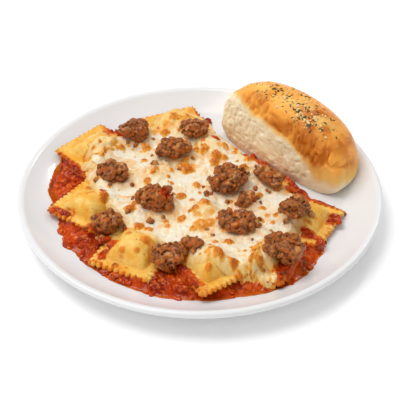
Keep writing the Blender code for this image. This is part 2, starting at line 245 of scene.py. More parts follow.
def pressed(square: np.ndarray, centre: tuple, radii: np.ndarray) -> tuple:
    """Press a square sheet into a rounded outline.

    Args:
        square: Places in the square from -1 to 1.
        centre: Middle of the outline.
        radii: Radius of the outline at even bearings.

    Returns:
        The places in plan, and each one's share of the way out to the outline.
    """
    x, y = square[:, 0], square[:, 1]
    u = x * np.sqrt(1.0 - y * y / 2)
    v = y * np.sqrt(1.0 - x * x / 2)
    share = np.hypot(u, v)
    bearing = np.arctan2(v, u)
    steps = np.linspace(0.0, math.tau, len(radii) + 1)
    radius = np.interp(bearing % math.tau, steps, np.append(radii, radii[0])) * share
    plan = np.stack([radius * np.cos(bearing), radius * np.sin(bearing)], axis=1)
    return plan + np.array(centre), share


class Landscape:
    """Upper surfaces of finished pieces, read by vertical rays."""

    def __init__(self, pieces: list) -> None:
        """Gather the pieces' faces into one tree.

        Args:
            pieces: Objects that sit at the origin.
        """
        points, faces = [], []
        for piece in pieces:
            start = len(points)
            points.extend(points_of(piece).tolist())
            for face in piece.data.polygons:
                faces.append([start + index for index in face.vertices])
        self.tree = BVHTree.FromPolygons(points, faces)

    def height(self, x: float, y: float, missing: float = 0.0) -> float:
        """Height of the top at a place, or the missing value where nothing lies."""
        point = self.tree.ray_cast(Vector((x, y, SKY)), Vector((0.0, 0.0, -1.0)))[0]
        return missing if point is None else point.z

    def heights(self, plan: np.ndarray, missing: float = 0.0) -> np.ndarray:
        """Heights of the top at many places, one row of x and y each."""
        return np.array([self.height(x, y, missing) for x, y in plan[:, :2]])

    def normal(self, x: float, y: float) -> Vector:
        """Direction that the top faces at a place."""
        found = self.tree.ray_cast(Vector((x, y, SKY)), Vector((0.0, 0.0, -1.0)))
        return Vector((0.0, 0.0, 1.0)) if found[0] is None else found[1]


def add_piece(piece: bpy.types.Object, slot: Slot, material: bpy.types.Material, *nodes: str) -> None:
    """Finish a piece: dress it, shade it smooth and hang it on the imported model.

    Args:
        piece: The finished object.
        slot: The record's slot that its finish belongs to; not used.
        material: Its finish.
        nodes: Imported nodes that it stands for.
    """
    piece.data.materials.clear()
    piece.data.materials.append(material)
    piece.data.shade_smooth()
    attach(piece, BODY)
    if nodes:
        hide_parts(*nodes)
    log.info("%s: %d faces", piece.name, len(piece.data.polygons))


def join_copies(name: str, base: bpy.types.Object, frames: list) -> bpy.types.Object:
    """Copy one small shape to many places as a single mesh.

    Args:
        name: Name of the joined piece.
        base: Object whose mesh is copied, and which is then removed.
        frames: For each copy, its 3 x 3 axes as rows, already scaled, and its place.

    Returns:
        The joined object.
    """
    points = points_of(base)
    faces = [tuple(face.vertices) for face in base.data.polygons]
    all_points, all_faces = [], []
    for axes, place in frames:
        start = len(all_points)
        all_points.extend((points @ axes + place).tolist())
        all_faces.extend(tuple(start + index for index in face) for face in faces)
    bpy.data.objects.remove(base, do_unlink=True)
    mesh = bpy.data.meshes.new(name)
    mesh.from_pydata(all_points, [], all_faces)
    piece = bpy.data.objects.new(name, mesh)
    bpy.context.scene.collection.objects.link(piece)
    return piece


# ---------------------------------------------------------------- shader work


class Graph:
    """A node tree with short calls to add and link its nodes."""

    def __init__(self, tree: bpy.types.NodeTree) -> None:
        """Work on a tree."""
        self.tree = tree

    def add(self, kind: str, inputs: dict | None = None, **settings) -> bpy.types.Node:
        """Add a node.

        Args:
            kind: Type of the node, without its leading word.
            inputs: Socket names or numbers, each with a socket to link or a value to set.
            settings: The node's own properties.

        Returns:
            The node.
        """
        node = self.tree.nodes.new(kind if kind.startswith("Node") else f"ShaderNode{kind}")
        for key, value in settings.items():
            setattr(node, key, value)
        for key, value in (inputs or {}).items():
            if isinstance(value, bpy.types.NodeSocket):
                self.tree.links.new(value, node.inputs[key])
            else:
                node.inputs[key].default_value = value
        return node

    def mix(self, share, first, second) -> bpy.types.NodeSocket:
        """Mix two colours, each a socket or red, green and blue, by a share."""
        colours = [
            colour if isinstance(colour, bpy.types.NodeSocket) else (*colour, 1.0)
            for colour in (first, second)
        ]
        node = self.add("Mix", {0: share, 6: colours[0], 7: colours[1]}, data_type="RGBA")
        return node.outputs[2]

    def math(self, operation: str, first, second=0.5) -> bpy.types.NodeSocket:
        """Combine two numbers, clamped from 0 to 1."""
        node = self.add("Math", {0: first, 1: second}, operation=operation, use_clamp=True)
        return node.outputs[0]

    def spread(self, value, low: float, high: float, to_low=0.0, to_high=1.0) -> bpy.types.NodeSocket:
        """Stretch a number so that low gives to_low and high gives to_high."""
        inputs = {"Value": value, "From Min": low, "From Max": high, "To Min": to_low, "To Max": to_high}
        return self.add("MapRange", inputs, interpolation_type="SMOOTHSTEP").outputs[0]

    def noise(self, place, scale: float, detail: float = 3.0, warp: float = 0.0) -> bpy.types.NodeSocket:
        """Cloudy pattern between about 0.3 and 0.7."""
        inputs = {"Vector": place, "Scale": scale, "Detail": detail, "Distortion": warp}
        return self.add("TexNoise", inputs).outputs["Fac"]

    def mask(self, mask: Mask) -> bpy.types.NodeSocket:
        """Read one of the piece's own masks."""
        return self.add("Attribute", attribute_name=mask.value).outputs["Fac"]

    def group(self, tree: bpy.types.NodeTree, inputs: dict) -> bpy.types.Node:
        """Place a shared effect."""
        node = self.tree.nodes.new("ShaderNodeGroup")
        node.node_tree = tree
        for key, value in inputs.items():
            if isinstance(value, bpy.types.NodeSocket):
                self.tree.links.new(value, node.inputs[key])
            else:
                node.inputs[key].default_value = value
        return node


def new_group(name: str, inputs: dict, outputs: tuple) -> tuple:
    """Start a shared effect.

    Args:
        name: Name of the effect.
        inputs: Its number sockets with their usual values, besides the place.
        outputs: Names of its number outputs.

    Returns:
        The tree, its graph, its input node and its output node.
    """
    tree = bpy.data.node_groups.new(name, "ShaderNodeTree")
    tree.interface.new_socket("Place", in_out="INPUT", socket_type="NodeSocketVector")
    for key, value in inputs.items():
        socket = tree.interface.new_socket(key, in_out="INPUT", socket_type="NodeSocketFloat")
        socket.default_value = value
    for key in outputs:
        tree.interface.new_socket(key, in_out="OUTPUT", socket_type="NodeSocketFloat")
    graph = Graph(tree)
    return tree, graph, graph.add("NodeGroupInput"), graph.add("NodeGroupOutput")


def mottle_group() -> bpy.types.NodeTree:
    """Uneven patches at two sizes, with soft edges, for colour that baking leaves."""
    tree, graph, given, result = new_group("mottle", {"Scale": 100.0, "Edge": 0.12}, ("Mask",))
    place, scale, edge = given.outputs["Place"], given.outputs["Scale"], given.outputs["Edge"]
    inputs = {"Vector": place, "Scale": scale, "Detail": 4.0, "Roughness": 0.6}
    wide = graph.add("TexNoise", inputs).outputs["Fac"]
    low = graph.add("Math", {0: 0.5, 1: edge}, operation="SUBTRACT").outputs[0]
    high = graph.add("Math", {0: 0.5, 1: edge}, operation="ADD").outputs[0]
    limits = {"Value": wide, "From Min": low, "From Max": high}
    mask = graph.add("MapRange", limits, interpolation_type="SMOOTHSTEP").outputs[0]
    tree.links.new(mask, result.inputs["Mask"])
    return tree


def freckle_group() -> bpy.types.NodeTree:
    """Small round specks scattered thinly, for toasted flecks, pores and seasoning."""
    inputs = {"Scale": 300.0, "Size": 0.25, "Share": 0.5}
    tree, graph, given, result = new_group("freckles", inputs, ("Mask",))
    place, scale = given.outputs["Place"], given.outputs["Scale"]
    cells = graph.add("TexVoronoi", {"Vector": place, "Scale": scale})
    dot = graph.add("Math", {0: given.outputs["Size"], 1: cells.outputs["Distance"]}, operation="GREATER_THAN")
    chosen = graph.add("SeparateColor", {"Color": cells.outputs["Color"]}).outputs[0]
    kept = graph.add("Math", {0: given.outputs["Share"], 1: chosen}, operation="GREATER_THAN")
    mask = graph.add("Math", {0: dot.outputs[0], 1: kept.outputs[0]}, operation="MULTIPLY")
    tree.links.new(mask.outputs[0], result.inputs["Mask"])
    return tree


def grain_group() -> bpy.types.NodeTree:
    """Fine relief at two sizes, for the Height of a bump."""
    tree, graph, given, result = new_group("grain", {"Scale": 300.0, "Share": 0.35}, ("Height",))
    place, scale = given.outputs["Place"], given.outputs["Scale"]
    coarse = graph.add("TexNoise", {"Vector": place, "Scale": scale, "Detail": 3.0}).outputs["Fac"]
    finer = graph.add("Math", {0: scale, 1: 3.5}, operation="MULTIPLY").outputs[0]
    fine = graph.add("TexNoise", {"Vector": place, "Scale": finer, "Detail": 2.0}).outputs["Fac"]
    mixed = graph.add("Mix", {0: given.outputs["Share"], 2: coarse, 3: fine}, data_type="FLOAT")
    tree.links.new(mixed.outputs[0], result.inputs["Height"])
    return tree


class Effects:
    """The shared effects, each built once."""

    def __init__(self) -> None:
        """Build them."""
        self.mottle = mottle_group()
        self.freckles = freckle_group()
        self.grain = grain_group()


@dataclass(frozen=True)
class Finish:
    """A surface of food or glaze. Each kind paints its own colour, gloss and relief."""

    effects: Effects
    name: str = "finish"
    specular: float = 0.5
    subsurface: float = 0.0
    subsurface_reach: float = 0.002
    subsurface_tint: tuple = (1.0, 0.5, 0.25)
    coat: float = 0.0
    coat_roughness: float = 0.1

    def start(self) -> tuple:
        """Start the material, with what is the same all over set on its shader.

        Returns:
            The material, its graph, its shader and the place on the piece.
        """
        material = bpy.data.materials.new(self.name)
        material.use_nodes = True
        graph = Graph(material.node_tree)
        shader = material.node_tree.nodes["Principled BSDF"]
        shader.inputs["Specular IOR Level"].default_value = self.specular
        shader.inputs["Subsurface Weight"].default_value = self.subsurface
        shader.inputs["Subsurface Scale"].default_value = self.subsurface_reach
        shader.inputs["Subsurface Radius"].default_value = self.subsurface_tint
        shader.inputs["Coat Weight"].default_value = self.coat
        shader.inputs["Coat Roughness"].default_value = self.coat_roughness
        place = graph.add("TexCoord").outputs["Object"]
        return material, graph, shader, place

    def end(self, graph: Graph, shader, colour, roughness, height, depth: float) -> None:
        """Link colour, roughness and relief to the shader.

        Args:
            graph: The material's graph.
            shader: Its shader.
            colour: Socket of the colour.
            roughness: Socket of the roughness.
            height: Socket of the relief.
            depth: Depth of the relief in metres.
        """
        graph.tree.links.new(colour, shader.inputs["Base Color"])
        graph.tree.links.new(roughness, shader.inputs["Roughness"])
        bump = graph.add("Bump", {"Height": height, "Distance": depth, "Strength": 1.0})
        graph.tree.links.new(bump.outputs[0], shader.inputs["Normal"])

    def patches(self, graph: Graph, place, scale: float, edge: float = 0.12) -> bpy.types.NodeSocket:
        """Uneven patches of a size."""
        return graph.group(self.effects.mottle, {"Place": place, "Scale": scale, "Edge": edge}).outputs[0]

    def specks(self, graph: Graph, place, scale: float, size: float, share: float):
        """Scattered specks of a size."""
        inputs = {"Place": place, "Scale": scale, "Size": size, "Share": share}
        return graph.group(self.effects.freckles, inputs).outputs[0]

    def relief(self, graph: Graph, place, scale: float, share: float = 0.35):
        """Fine relief of a size."""
        return graph.group(self.effects.grain, {"Place": place, "Scale": scale, "Share": share}).outputs[0]


@dataclass(frozen=True)
class Glaze(Finish):
    """White glazed stoneware: smooth, faintly clouded, with a few pinholes."""

    name: str = "white_glaze"
    colour: tuple = (0.785, 0.785, 0.785)
    cloud: tuple = (0.765, 0.765, 0.765)
    pinhole: tuple = (0.55, 0.53, 0.50)
    specular: float = 0.3
    coat: float = 0.20
    coat_roughness: float = 0.05

    def make(self) -> bpy.types.Material:
        """Build the glaze."""
        material, graph, shader, place = self.start()
        colour = graph.mix(self.patches(graph, place, 14.0, 0.25), self.colour, self.cloud)
        pinholes = self.specks(graph, place, 190.0, 0.05, 0.03)
        colour = graph.mix(pinholes, colour, self.pinhole)
        roughness = graph.spread(graph.noise(place, 22.0), 0.3, 0.7, 0.16, 0.26)
        height = graph.noise(place, 30.0, 1.0)
        self.end(graph, shader, colour, roughness, height, 0.0002)
        return material


@dataclass(frozen=True)
class Pasta(Finish):
    """Egg dough, boiled and baked: oily yellow, toasted and stained with sauce in places."""

    name: str = "egg_pasta"
    specular: float = 0.16
    pale: tuple = (0.86, 0.575, 0.150)
    deep: tuple = (0.79, 0.36, 0.030)
    toasted: tuple = (0.74, 0.22, 0.013)
    scorched: tuple = (0.34, 0.085, 0.010)
    stained: tuple = (0.64, 0.120, 0.007)
    fleck: tuple = (0.34, 0.17, 0.05)
    subsurface: float = 0.15
    subsurface_reach: float = 0.002
    subsurface_tint: tuple = (1.0, 0.5, 0.12)
    coat: float = 0.10
    coat_roughness: float = 0.10

    def make(self) -> bpy.types.Material:
        """Build the dough."""
        material, graph, shader, place = self.start()
        colour = graph.mix(self.patches(graph, place, 90.0, 0.2), self.pale, self.deep)
        uneven = graph.spread(graph.noise(place, 420.0, 4.0), 0.32, 0.68, -0.30, 0.30)
        toast = graph.math("ADD", graph.mask(Mask.TOAST), graph.math("MULTIPLY", uneven, graph.mask(Mask.TOAST)))
        colour = graph.mix(graph.spread(toast, 0.12, 0.65), colour, self.toasted)
        colour = graph.mix(graph.spread(toast, 0.72, 1.0), colour, self.scorched)
        blot = graph.spread(graph.noise(place, 260.0, 4.0, 0.6), 0.35, 0.62, 0.25, 1.0)
        stain = graph.math("MULTIPLY", graph.mask(Mask.STAIN), blot)
        colour = graph.mix(graph.spread(stain, 0.08, 0.75), colour, self.stained)
        flecks = graph.math("MULTIPLY", self.specks(graph, place, 420.0, 0.22, 0.10), 0.55)
        colour = graph.mix(flecks, colour, self.fleck)
        roughness = graph.spread(graph.noise(place, 240.0), 0.3, 0.7, 0.26, 0.46)
        self.end(graph, shader, colour, roughness, self.relief(graph, place, 450.0), 0.00035)
        return material


@dataclass(frozen=True)
class TomatoSauce(Finish):
    """Cooked crushed tomato: wet, deep red, with paler pulp and orange oil at its edge."""

    name: str = "tomato_sauce"
    specular: float = 0.14
    deep: tuple = (0.26, 0.012, 0.001)
    bright: tuple = (0.57, 0.056, 0.002)
    pulp: tuple = (0.74, 0.150, 0.014)
    oil: tuple = (0.74, 0.17, 0.006)
    herb: tuple = (0.07, 0.05, 0.01)
    subsurface: float = 0.12
    subsurface_reach: float = 0.002
    subsurface_tint: tuple = (1.0, 0.12, 0.02)
    coat: float = 0.36
    coat_roughness: float = 0.06

    def make(self) -> bpy.types.Material:
        """Build the sauce."""
        material, graph, shader, place = self.start()
        colour = graph.mix(self.patches(graph, place, 75.0, 0.14), self.deep, self.bright)
        pulp = graph.spread(graph.noise(place, 230.0, 4.0, 0.8), 0.50, 0.66)
        colour = graph.mix(graph.math("MULTIPLY", pulp, 0.6), colour, self.pulp)
        colour = graph.mix(graph.mask(Mask.THIN), colour, self.oil)
        herbs = graph.math("MULTIPLY", self.specks(graph, place, 330.0, 0.18, 0.05), 0.7)
        colour = graph.mix(herbs, colour, self.herb)
        roughness = graph.spread(graph.noise(place, 300.0), 0.3, 0.7, 0.10, 0.26)
        self.end(graph, shader, colour, roughness, self.relief(graph, place, 300.0, 0.35), 0.0006)
        return material


@dataclass(frozen=True)
class MeltedCheese(Finish):
    """Melted and browned cheese: cream where thick, golden where thin, toasted in spots."""

    name: str = "melted_cheese"
    specular: float = 0.22
    cream: tuple = (0.88, 0.80, 0.645)
    butter: tuple = (0.88, 0.66, 0.34)
    melted: tuple = (0.88, 0.54, 0.15)
    rosy: tuple = (0.78, 0.44, 0.19)
    golden: tuple = (0.86, 0.37, 0.038)
    toasted: tuple = (0.58, 0.145, 0.009)
    scorched: tuple = (0.17, 0.045, 0.012)
    subsurface: float = 0.35
    subsurface_reach: float = 0.003
    subsurface_tint: tuple = (1.0, 0.75, 0.45)
    coat: float = 0.24
    coat_roughness: float = 0.09

    def make(self) -> bpy.types.Material:
        """Build the cheese."""
        material, graph, shader, place = self.start()
        butter = self.patches(graph, place, 60.0, 0.16)
        colour = graph.mix(graph.math("MULTIPLY", butter, 0.6), self.cream, self.butter)
        colour = graph.mix(graph.mask(Mask.THIN), colour, self.melted)
        blot = graph.spread(graph.noise(place, 190.0, 4.0, 0.5), 0.34, 0.62, 0.50, 1.0)
        colour = graph.mix(graph.math("MULTIPLY", graph.mask(Mask.STAIN), blot), colour, self.rosy)
        uneven = graph.spread(graph.noise(place, 560.0, 4.0, 0.4), 0.30, 0.70, 0.60, 1.25)
        toast = graph.math("MULTIPLY", graph.mask(Mask.TOAST), uneven)
        colour = graph.mix(graph.spread(toast, 0.07, 0.28), colour, self.golden)
        colour = graph.mix(graph.spread(toast, 0.27, 0.60), colour, self.toasted)
        colour = graph.mix(graph.spread(toast, 0.90, 1.15), colour, self.scorched)
        streak = graph.math("ABSOLUTE", graph.math("SUBTRACT", graph.noise(place, 95.0, 4.0, 0.9), 0.5))
        streak = graph.math("MULTIPLY", graph.spread(streak, 0.0, 0.009, 0.50, 0.0), self.patches(graph, place, 48.0, 0.06))
        flecks = graph.math("MULTIPLY", self.specks(graph, place, 260.0, 0.20, 0.09), 0.7)
        colour = graph.mix(graph.math("MAXIMUM", streak, flecks), colour, self.golden)
        roughness = graph.spread(graph.noise(place, 200.0), 0.3, 0.7, 0.20, 0.38)
        self.end(graph, shader, colour, roughness, self.relief(graph, place, 320.0, 0.4), 0.0004)
        return material


@dataclass(frozen=True)
class SausageMeat(Finish):
    """Browned sausage crumbs, wet with tomato and fat, with shade painted into the creases and lower part."""

    name: str = "sausage_meat"
    specular: float = 0.2
    brown: tuple = (0.160, 0.038, 0.007)
    tan: tuple = (0.43, 0.145, 0.027)
    sauced: tuple = (0.55, 0.115, 0.008)
    # Colour of the painted shade in the creases and towards the foot.
    dark: tuple = (0.060, 0.013, 0.003)
    cheesy: tuple = (0.70, 0.33, 0.085)
    subsurface: float = 0.08
    subsurface_tint: tuple = (1.0, 0.3, 0.15)
    coat: float = 0.42
    coat_roughness: float = 0.06

    def make(self) -> bpy.types.Material:
        """Build the meat."""
        material, graph, shader, place = self.start()
        colour = graph.mix(self.patches(graph, place, 380.0, 0.12), self.brown, self.tan)
        sauced = graph.spread(graph.noise(place, 240.0, 4.0, 0.5), 0.50, 0.60)
        colour = graph.mix(graph.math("MULTIPLY", sauced, 0.80), colour, self.sauced)
        # Painted shade: the shade mask darkens the creases between the crumbs and the lower part of the piece.
        shade = graph.spread(graph.mask(Mask.SHADE), 0.10, 0.65)
        colour = graph.mix(shade, colour, self.dark)
        colour = graph.mix(graph.mask(Mask.STAIN), colour, self.cheesy)
        roughness = graph.spread(graph.noise(place, 420.0), 0.3, 0.7, 0.18, 0.42)
        self.end(graph, shader, colour, roughness, self.relief(graph, place, 700.0, 0.4), 0.0008)
        return material


@dataclass(frozen=True)
class Bread(Finish):
    """A soft white roll: golden crust above, pale torn crumb below."""

    name: str = "bread_roll"
    crumb: tuple = (0.97, 0.87, 0.62)
    # Darker crumb colour: used for random patches, and for the painted shade in the pores and on the pale lower sides.
    crumb_shade: tuple = (0.92, 0.71, 0.42)
    gold: tuple = (0.94, 0.58, 0.16)
    crust: tuple = (0.97, 0.40, 0.055)
    crust_dark: tuple = (0.56, 0.140, 0.006)
    butter: tuple = (0.97, 0.60, 0.155)
    specular: float = 0.2
    coat: float = 0.12
    coat_roughness: float = 0.25
    subsurface: float = 0.12
    subsurface_reach: float = 0.004
    subsurface_tint: tuple = (1.0, 0.6, 0.3)

    def make(self) -> bpy.types.Material:
        """Build the bread."""
        material, graph, shader, place = self.start()
        crust_mask = graph.mask(Mask.CRUST)
        pale = graph.mix(graph.math("MULTIPLY", self.patches(graph, place, 150.0, 0.2), 0.5), self.crumb, self.crumb_shade)
        # Painted shade from the shade mask: pores of the torn crumb and the pale lower sides.
        pale = graph.mix(graph.mask(Mask.SHADE), pale, self.crumb_shade)
        uneven = graph.spread(graph.noise(place, 60.0, 4.0, 0.3), 0.32, 0.68, -0.28, 0.28)
        # On the roll the toast mask holds browning, painted shade on the crust's right side and in its creases, and a
        # painted highlight at the right end.
        baked = graph.math("ADD", graph.mask(Mask.TOAST), uneven)
        brown = graph.mix(graph.spread(baked, 0.05, 0.90), self.crust, self.crust_dark)
        brown = graph.mix(graph.mask(Mask.STAIN), brown, self.butter)
        colour = graph.mix(graph.spread(crust_mask, 0.02, 0.36), pale, self.gold)
        colour = graph.mix(graph.spread(crust_mask, 0.24, 0.76), colour, brown)
        roughness = graph.spread(crust_mask, 0.2, 0.8, 0.75, 0.34)
        self.end(graph, shader, colour, roughness, self.relief(graph, place, 500.0, 0.45), 0.0007)
        return material


@dataclass(frozen=True)
class Seasoning(Finish):
    """Dried herb, pepper or garlic: two shades of one colour."""

    name: str = "dried_herb"
    dark: tuple = (0.032, 0.032, 0.006)
    light: tuple = (0.12, 0.13, 0.03)
    scale: float = 900.0

    def make(self) -> bpy.types.Material:
        """Build the seasoning."""
        material, graph, shader, place = self.start()
        colour = graph.mix(self.patches(graph, place, self.scale, 0.1), self.dark, self.light)
        roughness = graph.spread(graph.noise(place, self.scale), 0.3, 0.7, 0.5, 0.75)
        self.end(graph, shader, colour, roughness, graph.noise(place, 2.0 * self.scale), 0.0002)
        return material


# ---------------------------------------------------------------- plate


@dataclass
class Plate:
    """The round plate, turned from its half section."""

    finish: Glaze
    lip_width: float = 0.0048
    lip_drop: float = 0.0005
    floor_radius: float = 0.108
    floor_top: float = 0.0080
    floor_underside: float = 0.0032
    wall_curve: float = 1.65
    wall_thickness: float = 0.0046
    foot_outer: float = 0.088
    foot_inner: float = 0.083
    foot_flare: float = 0.002
    foot_rounding: float = 0.0007
    steps: int = 240

    def __post_init__(self) -> None:
        """Take the plate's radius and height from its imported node."""
        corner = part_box("plate")[1]
        self.radius = corner.x
        self.height = corner.z

    def top(self, radius: float) -> float:
        """Height of the plate's upper side at a distance from its middle."""
        wall_end = self.radius - self.lip_width
        share = (radius - self.floor_radius) / (wall_end - self.floor_radius)
        rise = self.height - self.lip_drop - self.floor_top
        return self.floor_top + rise * max(0.0, share) ** self.wall_curve

    def section(self) -> list:
        """Half section, from the middle of its top round to the middle of its underside.

        Returns:
            Places as (radius, height).
        """
        wall_end = self.radius - self.lip_width
        wall = wall_end - self.floor_radius
        points = [(self.floor_radius * share, self.floor_top) for share in (0.0, 0.5, 0.85, 1.0)]
        for step in range(1, 25):
            radius = self.floor_radius + wall * step / 24
            points.append((radius, self.top(radius)))
        half_lip = self.lip_width / 2
        for degrees in range(105, -56, -16):
            angle = math.radians(degrees)
            radius = self.radius - half_lip + half_lip * math.cos(angle)
            points.append((radius, self.height - half_lip + half_lip * math.sin(angle)))
        for step in range(14):
            share = 0.80 - 0.70 * step / 13
            radius = self.floor_radius + wall * share
            points.append((radius + self.wall_thickness * share, self.top(radius) - self.wall_thickness))
        points.append((self.foot_outer + self.foot_flare, self.floor_underside))
        rounding = self.foot_rounding
        points.append((self.foot_outer, rounding))
        points.append((self.foot_outer - rounding, 0.0))
        points.append((self.foot_inner + rounding, 0.0))
        points.append((self.foot_inner, rounding))
        points.append((self.foot_inner - self.foot_flare, self.floor_underside))
        points.append((0.0, self.floor_underside))
        return points

    def build(self) -> bpy.types.Object:
        """Spin the section into the plate."""
        section = [(radius, 0.0, height) for radius, height in self.section()]
        mesh = bpy.data.meshes.new("plate_glazed")
        mesh.from_pydata(section, [(i, i + 1) for i in range(len(section) - 1)], [])
        plate = bpy.data.objects.new("plate_glazed", mesh)
        bpy.context.scene.collection.objects.link(plate)
        deselect()
        take(plate, "plate_glazed")
        bpy.ops.object.mode_set(mode="EDIT")
        bpy.ops.mesh.select_all(action="SELECT")
        bpy.ops.mesh.spin(steps=self.steps, angle=math.tau, center=(0.0, 0.0, 0.0), axis=(0.0, 0.0, 1.0))
        bpy.ops.mesh.select_all(action="SELECT")
        bpy.ops.mesh.remove_doubles(threshold=0.00002)
        bpy.ops.mesh.normals_make_consistent(inside=False)
        bpy.ops.object.mode_set(mode="OBJECT")
        add_piece(plate, Slot.PLATE, self.finish.make(), "plate")
        return plate


# ---------------------------------------------------------------- places on the food


@dataclass(frozen=True)
class Smear:
    """Sauce lying on the dough: middle, length, width, turn about Z and depth."""

    x: float
    y: float
    length: float
    width: float
    turn: float
    depth: float = 0.0016


@dataclass(frozen=True)
class Spot:
    """A toasted blister: middle, radius and how dark it is."""

    x: float
    y: float
    radius: float
    dark: float = 0.8


SMEARS = (
    Smear(-0.1010, 0.0305, 0.038, 0.0070, -42, 0.0022),
    Smear(-0.1040, -0.0243, 0.017, 0.0065, -25, 0.0018),
    Smear(-0.0816, 0.0168, 0.017, 0.0070, -10, 0.0020),
    Smear(-0.0661, -0.0672, 0.013, 0.0060, 40, 0.0012),
    Smear(-0.0700, -0.0705, 0.017, 0.0065, 62, 0.0018),
    Smear(-0.0090, -0.0960, 0.031, 0.0085, -58, 0.0022),
    Smear(0.0900, -0.0060, 0.046, 0.0075, -29, 0.0016),
    Smear(0.1001, -0.0313, 0.012, 0.0060, 60, 0.0016),
    Smear(0.0798, -0.0491, 0.018, 0.0055, -29, 0.0018),
    Smear(0.0880, -0.0590, 0.012, 0.0060, 52, 0.0018),
    Smear(0.0620, -0.0840, 0.042, 0.0125, 68, 0.0030),
    Smear(0.0060, 0.0940, 0.036, 0.0065, -68, 0.0016),
    Smear(0.0210, 0.0610, 0.036, 0.0080, -50, 0.0020),
    Smear(0.0580, 0.0330, 0.048, 0.0070, -50, 0.0018),
    Smear(-0.0680, 0.0800, 0.022, 0.0085, 30, 0.0022),
    Smear(-0.0774, -0.0427, 0.014, 0.0065, -42, 0.0018),
)

# Crushed tomato on top of the cheese and the sausage.
TOMATO_ON_TOP = (
    Smear(-0.0262, -0.0232, 0.0088, 0.0085, -50, 0.0030),
    Smear(-0.0880, 0.0030, 0.006, 0.0052, 25, 0.0024),
    Smear(-0.0745, -0.0075, 0.005, 0.0040, -20, 0.0018),
    Smear(-0.0560, -0.0470, 0.008, 0.0055, 60, 0.0020),
    Smear(0.0130, 0.0580, 0.009, 0.0060, -40, 0.0020),
)

# Cheese that has run down over the rims.
CHEESE_RUNS = (
    Smear(0.0470, -0.0965, 0.020, 0.0120, -22, 0.0008),
    Smear(0.0390, -0.0900, 0.016, 0.0100, 60, 0.0014),
    Smear(-0.0880, 0.0270, 0.016, 0.0080, -30, 0.0012),
    Smear(-0.0240, -0.0720, 0.020, 0.0110, -55, 0.0016),
    Smear(-0.0790, 0.0450, 0.030, 0.0170, 38, 0.0009),
)

SPOTS = (
    Spot(-0.0769, 0.0347, 0.0018, 0.60),
    Spot(-0.0442, 0.0360, 0.0020, 0.65),
    Spot(-0.0347, 0.0145, 0.0021, 0.70),
    Spot(-0.0436, 0.0521, 0.0030, 0.70),
    Spot(-0.0285, 0.0680, 0.0030, 0.70),
    Spot(-0.0103, 0.0240, 0.0046, 0.85),
    Spot(-0.0409, 0.0050, 0.0028, 0.55),
    Spot(-0.0855, -0.0046, 0.0027, 0.85),
    Spot(-0.0723, -0.0153, 0.0034, 0.85),
    Spot(-0.0771, 0.0107, 0.0021, 0.60),
    Spot(-0.0529, -0.0244, 0.0033, 0.75),
    Spot(-0.0143, -0.0095, 0.0030, 0.75),
    Spot(-0.0062, -0.0160, 0.0020, 0.65),
    Spot(-0.0041, -0.0310, 0.0028, 0.80),
    Spot(-0.0024, 0.0050, 0.0027, 0.70),
    Spot(-0.0624, 0.0471, 0.0025, 0.65),
    Spot(-0.0226, 0.0829, 0.0028, 0.65),
    Spot(-0.0103, 0.0884, 0.0018, 0.60),
    Spot(0.0033, -0.0225, 0.0035, 0.80),
    Spot(-0.0135, -0.0354, 0.0027, 0.80),
    Spot(-0.0455, -0.0440, 0.0034, 0.80),
    Spot(-0.0380, -0.0470, 0.0027, 0.75),
    Spot(-0.0522, -0.0599, 0.0022, 0.60),
    Spot(-0.0397, -0.0661, 0.0029, 0.75),
    Spot(-0.0565, -0.0752, 0.0028, 0.62),
    Spot(-0.0452, -0.0761, 0.0021, 0.62),
    Spot(-0.0569, -0.0777, 0.0018, 0.55),
    Spot(-0.0610, -0.0824, 0.0023, 0.95),
    Spot(-0.0530, -0.0842, 0.0013, 0.60),
    Spot(0.0015, -0.0456, 0.0043, 0.60),
    Spot(0.0074, -0.0440, 0.0030, 0.60),
    Spot(0.0460, -0.0079, 0.0021, 0.65),
    Spot(0.0208, -0.0674, 0.0031, 0.80),
    Spot(0.0140, -0.0900, 0.0034, 0.85),
    Spot(0.0060, -0.0985, 0.0028, 0.74),
    Spot(0.0241, -0.0935, 0.0028, 1.00),
    Spot(0.0380, -0.0875, 0.0029, 0.72),
    Spot(0.0427, -0.0906, 0.0020, 0.95),
    Spot(0.0443, -0.0391, 0.0030, 0.75),
    Spot(0.0539, -0.0416, 0.0017, 0.60),
    Spot(0.0565, -0.0337, 0.0019, 0.60),
    Spot(0.0390, -0.0808, 0.0033, 0.50),
    Spot(0.0272, -0.1009, 0.0027, 0.72),
    Spot(0.0580, 0.0020, 0.0027, 0.62),
    Spot(0.0700, 0.0047, 0.0026, 0.65),
    Spot(0.0138, 0.0343, 0.0038, 0.80),
    Spot(0.0118, 0.0279, 0.0032, 0.72),
    Spot(0.0030, 0.0390, 0.0033, 0.72),
    Spot(0.0334, 0.0140, 0.0034, 0.66),
    Spot(0.0279, 0.0429, 0.0018, 0.60),
    Spot(0.0210, 0.0465, 0.0030, 0.60),
    Spot(0.0378, 0.0297, 0.0033, 0.50),
    Spot(-0.0052, -0.0479, 0.0024, 0.60),
    Spot(-0.0100, -0.0829, 0.0022, 0.55),
)


def small_spots(count: int, plan: np.ndarray, chance: np.ndarray) -> tuple:
    """Small toasted blisters scattered over the cheese.

    Args:
        count: How many.
        plan: Places they can lie at, one row each.
        chance: How likely each place is.

    Returns:
        The blisters.
    """
    draw = np.random.default_rng(77)
    chosen = draw.choice(len(plan), count, p=chance / chance.sum())
    radii = 0.0006 + 0.0016 * draw.random(count) ** 1.6
    return tuple(Spot(*plan[index], radius, draw.uniform(0.55, 0.95)) for index, radius in zip(chosen, radii))


